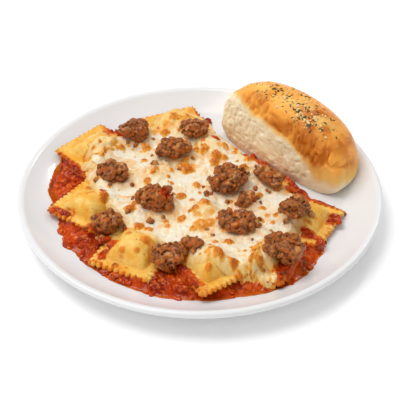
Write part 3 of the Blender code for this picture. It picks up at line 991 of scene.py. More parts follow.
def smear_mask(plan: np.ndarray, reach: float) -> np.ndarray:
    """How near places lie to a smear of sauce: 1 on it, and 0 beyond the reach round it.

    Args:
        plan: Places, one row each.
        reach: Distance over which the stain fades.

    Returns:
        One number for each place.
    """
    nearest = np.zeros(len(plan))
    for smear in SMEARS:
        turn = math.radians(smear.turn)
        dx, dy = plan[:, 0] - smear.x, plan[:, 1] - smear.y
        along = np.abs(dx * math.cos(turn) + dy * math.sin(turn)) - smear.length / 2
        across = np.abs(dy * math.cos(turn) - dx * math.sin(turn)) - smear.width / 2
        gap = np.hypot(np.maximum(along, 0.0), np.maximum(across, 0.0))
        nearest = np.maximum(nearest, 1.0 - smooth(gap, 0.0, reach))
    return nearest


def spot_mask(plan: np.ndarray, seed: float, spots: tuple = SPOTS) -> tuple:
    """How toasted places are, and how far the spots there have puffed up.

    Args:
        plan: Places, one row each.
        seed: Picks the ragged edges of the spots.
        spots: The toasted spots.

    Returns:
        Toast from 0 to 1, and rise in metres.
    """
    toast = np.zeros(len(plan))
    rise = np.zeros(len(plan))
    for spot in spots:
        dx, dy = plan[:, 0] - spot.x, plan[:, 1] - spot.y
        gap = np.hypot(dx, dy)
        near = np.flatnonzero(gap < 3.6 * spot.radius)
        middle = near[gap[near] < 0.5 * spot.radius]
        if not len(middle):
            continue
        gap = np.hypot(gap[near], plan[near, 2] - plan[middle, 2].max())
        flat = np.c_[plan[near, :2], np.full(len(near), spot.radius)]
        ragged = 1.0 + 0.42 * bumps(flat, 1.3 * spot.radius, seed) + 0.22 * bumps(flat, 0.0014, seed)
        share = gap / spot.radius * ragged
        toast[near] = np.maximum(toast[near], spot.dark * (1.0 - smooth(share, 0.30, 1.95)))
        rise[near] = np.maximum(rise[near], 0.75 * spot.radius * np.sqrt(np.clip(1.0 - (share / 1.15) ** 2, 0.0, 1.0)))
    return toast, rise


# ---------------------------------------------------------------- ravioli


@dataclass
class Raviolo:
    """A filled square of dough: a flat rim with a fluted edge round a domed pillow."""

    node: str
    material: bpy.types.Material
    seed: float
    flutes: int = 11
    flute_depth: float = 0.0021
    rim_width: float = 0.0085
    rim_thickness: float = 0.0030
    edge_thickness: float = 0.0019
    cells: int = 110

    def __post_init__(self) -> None:
        """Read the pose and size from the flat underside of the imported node."""
        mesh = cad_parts[self.node].data
        count = len(mesh.polygons)
        normals = np.empty(count * 3, np.float32)
        areas = np.empty(count, np.float32)
        mesh.polygons.foreach_get("normal", normals)
        mesh.polygons.foreach_get("area", areas)
        normals = normals.reshape(-1, 3)
        under = normals[:, 2] < -0.9
        up = -(normals[under] * areas[under, None]).sum(0)
        up /= np.linalg.norm(up)
        first = np.cross((0.0, 1.0, 0.0), up)
        first /= np.linalg.norm(first)
        second = np.cross(up, first)
        points = np.unique(points_of(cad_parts[self.node]).round(6), axis=0)
        levels = points @ up
        foot = points[levels < levels.min() + 0.0001]
        middle = foot.mean(0)
        flat = (foot - middle) @ first + 1j * ((foot - middle) @ second)
        corner = np.angle((np.abs(flat) ** 8 * (flat / np.abs(flat)) ** 4).sum()) / 4
        turn = corner - math.pi / 4
        along = math.cos(turn) * first + math.sin(turn) * second
        self.axes = np.array([along, np.cross(up, along), up])
        self.middle = middle
        self.half = np.abs((foot - middle) @ along).max()
        self.pillow_height = levels.max() - levels.min() - self.rim_thickness

    def flute(self, along: np.ndarray) -> np.ndarray:
        """Depth of the cut edge, from 0 on a lobe to 1 in a notch, along a side from -1 to 1."""
        phase = (along + 1.0) / 2 * self.flutes + 0.5
        return 1.0 - np.abs(np.sin(math.pi * phase)) ** 0.65

    def shape(self, square: np.ndarray) -> np.ndarray:
        """Shape the sheet as a raviolo standing on its own underside.

        Args:
            square: Sheet from -1 to 1, its underside's edge at height -1.

        Returns:
            Places with the middle of the underside at the origin.
        """
        half = self.half
        a, b = square[:, 0], square[:, 1]
        outward = np.maximum(np.abs(a), np.abs(b))
        rim = self.rim_width / half
        reach_a = smooth(np.abs(a), 1.0 - 0.75 * rim, 1.0)
        reach_b = smooth(np.abs(b), 1.0 - 0.75 * rim, 1.0)
        ragged = np.c_[a * half, b * half, np.full(len(a), self.seed)]
        uneven = 1.0 + 0.45 * bumps(ragged, 0.004, self.seed)
        x = a * half - np.sign(a) * self.flute(b) * reach_a * self.flute_depth * uneven
        y = b * half - np.sign(b) * self.flute(a) * reach_b * self.flute_depth * uneven
        corner = smooth(np.minimum(np.abs(a), np.abs(b)), 0.90, 1.0)
        x -= np.sign(a) * corner * 0.0009
        y -= np.sign(b) * corner * 0.0009

        edge = half * (1.0 - outward)
        z = self.edge_thickness + (self.rim_thickness - self.edge_thickness) * smooth(edge, 0.0, 0.0015)
        flute = np.where(np.abs(a) > np.abs(b), self.flute(b), self.flute(a))
        z -= 0.0009 * flute * (1.0 - smooth(edge, 0.001, 0.0046))
        z += 0.00045 * bumps(ragged, 0.009, self.seed + 4) * smooth(edge, 0.0, 0.002)

        pillow = half - self.rim_width
        slant = 9.0 - 5.4 * smooth(1.0 - outward, 0.30, 0.85)
        span = (np.abs(a) ** slant + np.abs(b) ** slant) ** (1.0 / slant) * half / pillow
        lump = 1.0 + 0.055 * bumps(ragged, 0.010, self.seed + 9)
        dome = np.clip(1.0 - (span / lump) ** 2.2, 0.0, 1.0) ** 0.88
        z += self.pillow_height * dome
        z += dome * (0.0007 * bumps(ragged, 0.008, self.seed + 2) + 0.0002 * bumps(ragged, 0.003, self.seed))
        z -= 0.0004 * smooth(span, 0.9, 1.02) * (1.0 - smooth(span, 1.04, 1.16))
        folds = bumps(np.c_[ragged[:, 0] * 0.5, ragged[:, 1] * 0.5, ragged[:, 2]], 0.0022, self.seed + 6)
        z += 0.00025 * folds * smooth(edge, 0.001, 0.003)
        z = np.where(square[:, 2] < -0.5, 0.0, z)
        self.edge_distance = edge
        self.dome = dome
        return np.c_[x, y, z]

    def build(self) -> bpy.types.Object:
        """Shape the raviolo and lay it in its node's place."""
        piece = slab(f"{self.node}_dough", self.cells)
        square = points_of(piece)
        local = self.shape(square)
        places = local @ self.axes + self.middle
        flat = np.c_[places[:, :2], np.full(len(places), self.seed)]
        toast, rise = spot_mask(places, self.seed)
        places[:, 2] += np.where(square[:, 2] < -0.5, 0.0, rise)
        set_points(piece, places)
        edge = (1.0 - smooth(self.edge_distance, 0.0004, 0.0034)) * (0.36 + 0.85 * bumps(flat, 0.010, self.seed))
        patchy = 0.42 * smooth(bumps(flat, 0.012, self.seed + 3), 0.15, 0.55)
        patchy = np.maximum(patchy, 0.50 * smooth(bumps(flat, 0.0042, self.seed + 8), 0.34, 0.62))
        set_mask(piece, Mask.TOAST, np.maximum(toast, np.maximum(edge, patchy)))
        low = (1.0 - smooth(places[:, 2], 0.0100, 0.0130)) * (0.45 + 0.6 * bumps(flat, 0.007, 5.0))
        low *= 1.0 - self.dome
        set_mask(piece, Mask.STAIN, np.maximum(low, 0.95 * smear_mask(places, 0.0026)))
        add_piece(piece, Slot.PASTA, self.material, self.node)
        return piece


# ---------------------------------------------------------------- sauce


@dataclass
class SaucePool:
    """Chunky sauce over the plate's floor, lower where the ravioli lie on it."""

    plate: Plate
    material: bpy.types.Material
    cells: int = 300
    edge_depth: float = 0.0004
    depth: float = 0.0042
    clearance: float = 0.0007

    def build(self, ravioli: list) -> bpy.types.Object:
        """Spread the sauce.

        Args:
            ravioli: Finished ravioli, which the sauce stays under.

        Returns:
            The pool.
        """
        piece = slab("tomato_sauce_pool", self.cells)
        square = points_of(piece)
        outline = points_of(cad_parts["sauce"])
        plan, share = pressed(square, (0.0, 0.0), polar_outline(outline, (0.0, 0.0)))
        flat = np.c_[plan, np.zeros(len(plan))]
        wander = 1.0 + (0.014 * bumps(flat, 0.013, 3.0) + 0.008 * bumps(flat, 0.005, 8.0)) * share ** 3
        plan *= wander[:, None]
        flat = np.c_[plan, np.zeros(len(plan))]
        floor = np.array([self.plate.top(radius) for radius in np.hypot(plan[:, 0], plan[:, 1])])
        inside = 1.0 - smooth(share, 0.90, 1.0)
        patchy = smooth(bumps(flat, 0.013, 12.0), -0.35, 0.25)
        chunks = 0.0034 * pebbles(flat, 0.0125, 1.0) + 0.0020 * patchy * pebbles(flat, 0.0062, 2.0)
        chunks += 0.0016 * bumps(flat, 0.018, 6.0) + 0.0003 * bumps(flat, 0.0026, 4.0)
        top = floor + self.edge_depth + inside * (self.depth - self.edge_depth + chunks)
        pasta = Landscape(ravioli)
        unders = self.undersides(pasta, plan)
        top = np.minimum(top, np.maximum(unders - self.clearance, floor + 0.0003))
        under = square[:, 2] < -0.5
        z = np.where(under, floor + 0.00015, top)
        set_points(piece, np.c_[plan, z])
        rim = smooth(share, 0.975, 1.0) * (0.5 + 0.9 * bumps(flat, 0.006, 2.0))
        set_mask(piece, Mask.THIN, rim)
        add_piece(piece, Slot.SAUCE, self.material, "sauce")
        return piece

    def undersides(self, pasta: Landscape, plan: np.ndarray) -> np.ndarray:
        """Lowest face of the ravioli over each place, or a great height where none lies."""
        up = Vector((0.0, 0.0, 1.0))
        found = [pasta.tree.ray_cast(Vector((x, y, 0.0)), up)[0] for x, y in plan]
        return np.array([SKY if point is None else point.z for point in found])


def relax(levels: np.ndarray, side: int) -> np.ndarray:
    """Mean of the four neighbours of every vertex of a square sheet, row by row."""
    padded = np.pad(levels.reshape(side, side), 1, mode="edge")
    around = padded[:-2, 1:-1] + padded[2:, 1:-1] + padded[1:-1, :-2] + padded[1:-1, 2:]
    return 0.25 * around.ravel()


def settle(ground: np.ndarray, rounds: int, softening: int) -> np.ndarray:
    """Stretch a square sheet over uneven ground, never below its tops until it softens.

    Args:
        ground: Heights under the sheet's vertices, row by row.
        rounds: How far it stretches over gaps.
        softening: How far it rounds off at the end.

    Returns:
        Heights of the sheet.
    """
    side = math.isqrt(len(ground))
    level = ground
    for _ in range(rounds):
        level = np.maximum(ground, relax(level, side))
    for _ in range(softening):
        level = relax(level, side)
    return level


@dataclass
class Runs:
    """Sauce or cheese that has run over the rims of the ravioli."""

    name: str
    slot: Slot
    material: bpy.types.Material
    smears: tuple
    thin: float = 0.0
    raggedness: float = 1.0
    slack: int = 10
    cells: int = 50
    shell: float = 0.0009

    def build(self, ground: Landscape) -> bpy.types.Object:
        """Lay every run on the food below it.

        Args:
            ground: What they lie on.

        Returns:
            One piece with all of them.
        """
        drops = [self.drape(smear, ground, 3.1 * index) for index, smear in enumerate(self.smears)]
        deselect()
        for drop in drops:
            drop.select_set(True)
        bpy.context.view_layer.objects.active = drops[0]
        bpy.ops.object.join()
        piece = take(bpy.context.object, self.name)
        add_piece(piece, self.slot, self.material)
        return piece

    def drape(self, smear: Smear, ground: Landscape, seed: float) -> bpy.types.Object:
        """Lay one ragged, lumpy smear over the food.

        Args:
            smear: Where it lies, and its size.
            ground: What it lies on.
            seed: Picks its lumps and its outline.

        Returns:
            The smear as a closed skin.
        """
        deselect()
        bpy.ops.mesh.primitive_grid_add(x_subdivisions=self.cells, y_subdivisions=self.cells, size=2.0)
        drop = take(bpy.context.object, "smear")
        disc, share = pressed(points_of(drop), (0.0, 0.0), np.ones(4))
        turn = math.radians(smear.turn)
        u, v = disc[:, 0] * smear.length / 2, disc[:, 1] * smear.width / 2
        bent = np.c_[u, v, np.full(len(u), seed)]
        edge = 1.0 + self.raggedness * (0.34 * bumps(bent, 0.007, seed) + 0.20 * bumps(bent, 0.0028, seed + 1))
        u, v = u * edge, v * edge
        plan = np.c_[
            smear.x + u * math.cos(turn) - v * math.sin(turn),
            smear.y + u * math.sin(turn) + v * math.cos(turn),
            np.zeros(len(u)),
        ]
        base = settle(ground.heights(plan, 0.010), self.slack, 1 + self.slack // 5)
        lumpy = 0.40 + 0.85 * pebbles(plan, 0.0056, seed) + 0.30 * bumps(plan, 0.0026, seed)
        body = np.sqrt(np.clip(1.0 - share ** 2, 0.0, 1.0))
        set_points(drop, np.c_[plan[:, :2], base + smear.depth * lumpy * body - 0.0004 * smooth(share, 0.7, 1.0)])
        set_mask(drop, Mask.THIN, self.thin + (0.8 - self.thin) * smooth(share, 0.80, 1.0))
        set_mask(drop, Mask.STAIN, 0.6 * smooth(bumps(plan, 0.006, seed + 2), 0.0, 0.4))
        blotches = 0.55 * smooth(bumps(plan, 0.005, seed + 7), 0.15, 0.45)
        blotches = np.maximum(blotches, 0.45 * smooth(share, 0.62, 1.0))
        set_mask(drop, Mask.TOAST, np.maximum(spot_mask(plan, seed)[0], blotches))
        apply_modifier(drop, "SOLIDIFY", thickness=self.shell, offset=-1.0, use_rim=True)
        return drop


@dataclass
class TomatoPieces:
    """Crushed lumps of tomato, half sunk in the open sauce."""

    material: bpy.types.Material
    count: int = 110
    smallest: float = 0.0018
    largest: float = 0.0058

    def build(self, sauce: Landscape, above: Landscape, radius: float) -> bpy.types.Object:
        """Scatter the lumps where nothing covers the sauce.

        Args:
            sauce: The sauce and its smears.
            above: Everything that could cover the sauce.
            radius: Greatest distance from the plate's middle.

        Returns:
            One piece with all the lumps.
        """
        draw = np.random.default_rng(11)
        deselect()
        bpy.ops.mesh.primitive_ico_sphere_add(subdivisions=4, radius=1.0)
        lump = take(bpy.context.object, "tomato_lump")
        ball = points_of(lump)
        swell = 0.76 + 0.36 * pebbles(ball, 1.3, 4.0) + 0.14 * bumps(ball, 0.6, 1.0)
        set_points(lump, ball * swell[:, None])
        frames = []
        while len(frames) < self.count:
            x, y = draw.uniform(-radius, radius, 2)
            z = sauce.height(x, y)
            if z == 0.0 or above.height(x, y) > z + 0.0004:
                continue
            size = self.smallest + (self.largest - self.smallest) * draw.random() ** 2.2
            scales = size * np.array([draw.uniform(0.8, 1.3), draw.uniform(0.6, 1.0), draw.uniform(0.4, 0.65)])
            frames.append((tumbled(draw, 0.35) * scales[:, None], np.array([x, y, z - 0.1 * size])))
        piece = join_copies("tomato_pieces", lump, frames)
        set_mask(piece, Mask.THIN, np.zeros(len(piece.data.vertices)))
        add_piece(piece, Slot.SAUCE, self.material)
        return piece


def tumbled(draw: np.random.Generator, lean: float) -> np.ndarray:
    """Axes turned freely about Z and leaning at random.

    Args:
        draw: Source of random numbers.
        lean: Greatest lean in radians.

    Returns:
        Three unit axes as rows.
    """
    turn = draw.uniform(0.0, math.tau)
    tilt = draw.uniform(-lean, lean)
    flat = np.array([[math.cos(turn), math.sin(turn), 0.0], [-math.sin(turn), math.cos(turn), 0.0], [0, 0, 1.0]])
    tip = np.array([[1.0, 0.0, 0.0], [0.0, math.cos(tilt), math.sin(tilt)], [0.0, -math.sin(tilt), math.cos(tilt)]])
    return tip @ flat


# ---------------------------------------------------------------- cheese


@dataclass
class Cheese:
    """A sheet of cheese melted over the ravioli, thin at its ragged edge."""

    material: bpy.types.Material
    centre: tuple = (-0.005, -0.004)
    cells: int = 210
    thickness: float = 0.0019
    shell: float = 0.0012
    settling: int = 420
    spread: float = 0.0030
    blisters: int = 90

    def build(self, pile: Landscape, meat: Landscape) -> bpy.types.Object:
        """Melt the cheese over the pile.

        Args:
            pile: What the cheese lies on.
            meat: The sausage that lies on the cheese.

        Returns:
            The sheet.
        """
        deselect()
        bpy.ops.mesh.primitive_grid_add(x_subdivisions=self.cells, y_subdivisions=self.cells, size=2.0)
        piece = take(bpy.context.object, "melted_cheese_sheet")
        square = points_of(piece)
        node = points_of(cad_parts["cheese"])
        plan, share = pressed(square, self.centre, polar_outline(node, self.centre))
        radius = np.maximum(np.hypot(*(plan - np.array(self.centre)).T) / np.maximum(share, 0.05), 0.001)
        plan = plan + (plan - np.array(self.centre)) * (share ** 3 * self.spread / radius)[:, None]
        flat = np.c_[plan, np.zeros(len(plan))]
        ground = pile.heights(plan, 0.010)
        drape = settle(ground, self.settling, 6)
        inward = (1.0 - share) * radius
        ragged = 0.0030 * bumps(flat, 0.014, 2.0) + 0.0026 * bumps(flat, 0.006, 5.0) + 0.0009 * bumps(flat, 0.002, 1.0)
        cover = smooth(inward + ragged, 0.0004, 0.0085)
        hollow = np.clip(drape - ground, 0.0, 0.004)
        thick = self.thickness * (1.0 + 0.35 * bumps(flat, 0.015, 7.0) + 0.22 * bumps(flat, 0.0065, 3.0))
        thick += 0.00025 * bumps(flat, 0.0032, 8.0) + 0.0006 * pebbles(flat, 0.0085, 5.0)
        thick += 0.0009 * smooth(bumps(flat, 0.016, 12.0), -0.1, 0.3) * pebbles(flat, 0.0048, 9.0)
        crest = smooth(drape - settle(drape, 0, 160), 0.0002, 0.0022)
        extra = small_spots(self.blisters, plan, (0.15 + crest) * smooth(inward, 0.002, 0.010) * radius)
        toast, rise = spot_mask(np.c_[plan, drape], 2.0, SPOTS + extra)
        height = drape * cover + ground * (1.0 - cover) + thick * cover - 0.0005 * (1.0 - cover)
        height += rise * cover
        near_meat = self.nearness(plan, meat)
        height += 0.0028 * near_meat * cover
        set_points(piece, np.c_[plan, height])
        thin = 1.0 - smooth(inward + ragged, 0.0015, 0.0120)
        back = smooth(plan[:, 1] + 1.5 * ragged, 0.058, 0.078)
        thin = np.maximum(thin, 0.9 * back)
        fleck = smooth(bumps(flat, 0.0050, 9.0), 0.34, 0.62) * smooth(bumps(flat, 0.020, 4.0), -0.2, 0.4)
        oily = smooth(bumps(flat, 0.008, 3.0), 0.05, 0.45)
        set_mask(piece, Mask.TOAST, np.maximum.reduce([toast, 0.42 * fleck, 0.34 * crest * oily, (0.30 + 0.2 * back) * thin * oily]))
        set_mask(piece, Mask.THIN, np.maximum(thin, 0.45 * crest))
        rosy = smooth(bumps(flat, 0.013, 6.0), 0.12, 0.5) * (0.35 + 0.65 * near_meat)
        set_mask(piece, Mask.STAIN, np.maximum(0.55 * rosy * (0.4 + 0.6 * smooth(-hollow, -0.002, 0.0)), 0.8 * near_meat))
        apply_modifier(piece, "SOLIDIFY", thickness=self.shell, offset=-1.0, use_rim=True)
        add_piece(piece, Slot.CHEESE, self.material, "cheese")
        return piece

    def nearness(self, plan: np.ndarray, meat: Landscape) -> np.ndarray:
        """How close each place is to a piece of sausage, from 0 at 4 mm to 1 against it."""
        gaps = []
        for x, y in plan:
            found = meat.tree.find_nearest(Vector((x, y, 0.024)), 0.012)
            point = found[0]
            gaps.append(1.0 if point is None else math.hypot(point.x - x, point.y - y))
        return 1.0 - smooth(np.array(gaps), 0.0004, 0.0062)


# ---------------------------------------------------------------- sausage


@dataclass
class SausagePiece:
    """A torn lump of sausage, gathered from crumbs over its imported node."""

    node: str
    material: bpy.types.Material
    seed: int
    voxel: float = 0.00060
    core: float = 0.84
    # Kinds of crumb: how many to each square millimetre, their radii, and how deep they sit.
    big: tuple = (0.017, 0.0026, 0.0048, 0.36)
    small: tuple = (0.090, 0.0008, 0.0018, 0.05)
    sink: float = 0.0004

    def build(self) -> bpy.types.Object:
        """Gather the crumbs and fuse them."""
        draw = np.random.default_rng(100 + self.seed)
        low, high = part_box(self.node)
        middle = (np.array(low) + np.array(high)) / 2
        frames = []
        for share, smallest, largest, depth in (self.big, self.small):
            for place in self.sample(draw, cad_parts[self.node], share):
                size = draw.uniform(smallest, largest)
                inward = (middle - place) / np.linalg.norm(middle - place)
                scales = size * draw.uniform(0.65, 1.25, 3)
                frames.append((tumbled(draw, 1.5) * scales[:, None], place + inward * depth * size))
        deselect()
        bpy.ops.mesh.primitive_ico_sphere_add(subdivisions=2, radius=1.0)
        crumb = take(bpy.context.object, "crumb")
        crumbs = join_copies(f"{self.node}_meat", crumb, frames)
        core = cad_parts[self.node].copy()
        core.data = core.data.copy()
        core.parent = None
        bpy.context.scene.collection.objects.link(core)
        set_points(core, middle + (points_of(core) - middle) * self.core)
        deselect()
        core.select_set(True)
        crumbs.select_set(True)
        bpy.context.view_layer.objects.active = crumbs
        bpy.ops.object.join()
        piece = take(bpy.context.object, f"{self.node}_meat")
        for key in list(piece.keys()):
            del piece[key]
        apply_modifier(piece, "REMESH", mode="VOXEL", voxel_size=self.voxel)
        self.roughen(piece)
        add_piece(piece, Slot.SAUSAGE, self.material, self.node)
        return piece

    def sample(self, draw: np.random.Generator, node: bpy.types.Object, share: float) -> np.ndarray:
        """Random places all over a node's surface, a share of one to each square millimetre."""
        mesh = node.data
        corners = points_of(node)[np.array([tuple(face.vertices) for face in mesh.polygons])]
        areas = np.linalg.norm(np.cross(corners[:, 1] - corners[:, 0], corners[:, 2] - corners[:, 0]), axis=1) / 2
        count = int(areas.sum() / MM ** 2 * share)
        chosen = draw.choice(len(areas), count, p=areas / areas.sum())
        a, b = draw.random((2, count, 1))
        folded = (a + b) > 1.0
        a, b = np.where(folded, 1.0 - a, a), np.where(folded, 1.0 - b, b)
        first, second, third = corners[chosen].transpose(1, 0, 2)
        return first + a * (second - first) + b * (third - first)

    def roughen(self, piece: bpy.types.Object) -> None:
        """Add the grain of the meat, sink the piece a little, and paint shade into its creases and lower part."""
        mesh = piece.data
        points = points_of(piece)
        flat = np.empty(len(points) * 3, np.float32)
        mesh.vertices.foreach_get("normal", flat)
        normals = flat.reshape(-1, 3)
        swell = 0.00055 * bumps(points, 0.0026, self.seed) + 0.00035 * bumps(points, 0.0012, self.seed + 5)
        edges = np.empty(len(mesh.edges) * 2, np.int32)
        mesh.edges.foreach_get("vertices", edges)
        start, end = edges.reshape(-1, 2).T
        total = np.zeros_like(points)
        count = np.zeros(len(points))
        for here, there in ((start, end), (end, start)):
            np.add.at(total, here, points[there])
            np.add.at(count, here, 1.0)
        # Painted shade: darker in the creases between the crumbs (deep) and towards the bottom of the piece (low).
        hollow = ((total / count[:, None] - points) * normals).sum(1) / self.voxel
        deep = smooth(hollow, 0.02, 0.20)
        low = 1.0 - smooth(points[:, 2], points[:, 2].min(), points[:, 2].min() + 0.005)
        points = points + normals * swell[:, None]
        points[:, 2] -= self.sink
        set_points(piece, points)
        # The shade mask holds painted shade: full in the creases, and at about a third near the bottom.
        set_mask(piece, Mask.SHADE, np.maximum(deep, 0.35 * low))
        upward = smooth(normals[:, 2], 0.3, 0.9) * (1.0 - deep)
        cheesy = 0.6 * upward * smooth(bumps(points, 0.0050, self.seed + 3), 0.24, 0.46)
        foot = low * smooth(bumps(points, 0.0045, self.seed + 9), -0.15, 0.30)
        set_mask(piece, Mask.STAIN, np.maximum(cheesy, 0.85 * foot))


def seat(piece: bpy.types.Object, ground: Landscape, share: float = 0.22, deepest: float = 0.007) -> None:
    """Lower a piece until a share of its underside has sunk into what lies below it.

    Args:
        piece: The piece.
        ground: What lies below.
        share: Share of the underside that touches.
        deepest: Furthest that the piece may be moved.
    """
    points = points_of(piece)
    flat = np.empty(len(points) * 3, np.float32)
    piece.data.vertices.foreach_get("normal", flat)
    under = points[flat.reshape(-1, 3)[:, 2] < -0.35][::7]
    gaps = under[:, 2] - ground.heights(under, 0.0)
    drop = float(np.clip(np.quantile(gaps, share), -0.002, deepest))
    points[:, 2] -= drop
    set_points(piece, points)
    logging.getLogger(piece.name).info("lowered by %.1f mm", drop / MM)


@dataclass
class MeatCrumbs:
    """Small crumbs that have fallen from the sausage onto the cheese."""

    material: bpy.types.Material
    each: int = 5
    smallest: float = 0.0014
    largest: float = 0.0032

    def build(self, ground: Landscape, nodes: list) -> bpy.types.Object:
        """Scatter crumbs round every sausage piece.

        Args:
            ground: What the crumbs lie on.
            nodes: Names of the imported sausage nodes.

        Returns:
            One piece with all the crumbs.
        """
        draw = np.random.default_rng(21)
        deselect()
        bpy.ops.mesh.primitive_ico_sphere_add(subdivisions=3, radius=1.0)
        crumb = take(bpy.context.object, "meat_crumb")
        ball = points_of(crumb)
        swell = 0.70 + 0.45 * pebbles(ball, 0.9, 2.0) + 0.2 * bumps(ball, 0.4, 1.0)
        set_points(crumb, ball * swell[:, None])
        frames = []
        for node in nodes:
            low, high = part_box(node)
            middle, half = (low + high) / 2, (high - low) / 2
            for _ in range(self.each):
                bearing = draw.uniform(0.0, math.tau)
                reach = draw.uniform(1.02, 1.5)
                x = middle.x + reach * half.x * math.cos(bearing)
                y = middle.y + reach * half.y * math.sin(bearing)
                size = self.smallest + (self.largest - self.smallest) * draw.random() ** 2
                scales = size * draw.uniform(0.75, 1.2, 3)
                place = np.array([x, y, ground.height(x, y, 0.010) + 0.05 * size])
                frames.append((tumbled(draw, 1.5) * scales[:, None], place))
        piece = join_copies("meat_crumbs", crumb, frames)
        crumb_points = points_of(piece)
        set_mask(piece, Mask.SHADE, np.zeros(len(crumb_points)))
        set_mask(piece, Mask.STAIN, 0.7 * smooth(bumps(crumb_points, 0.006, 3.0), -0.1, 0.4))
        add_piece(piece, Slot.SAUSAGE, self.material)
        return piece


# ---------------------------------------------------------------- bread roll


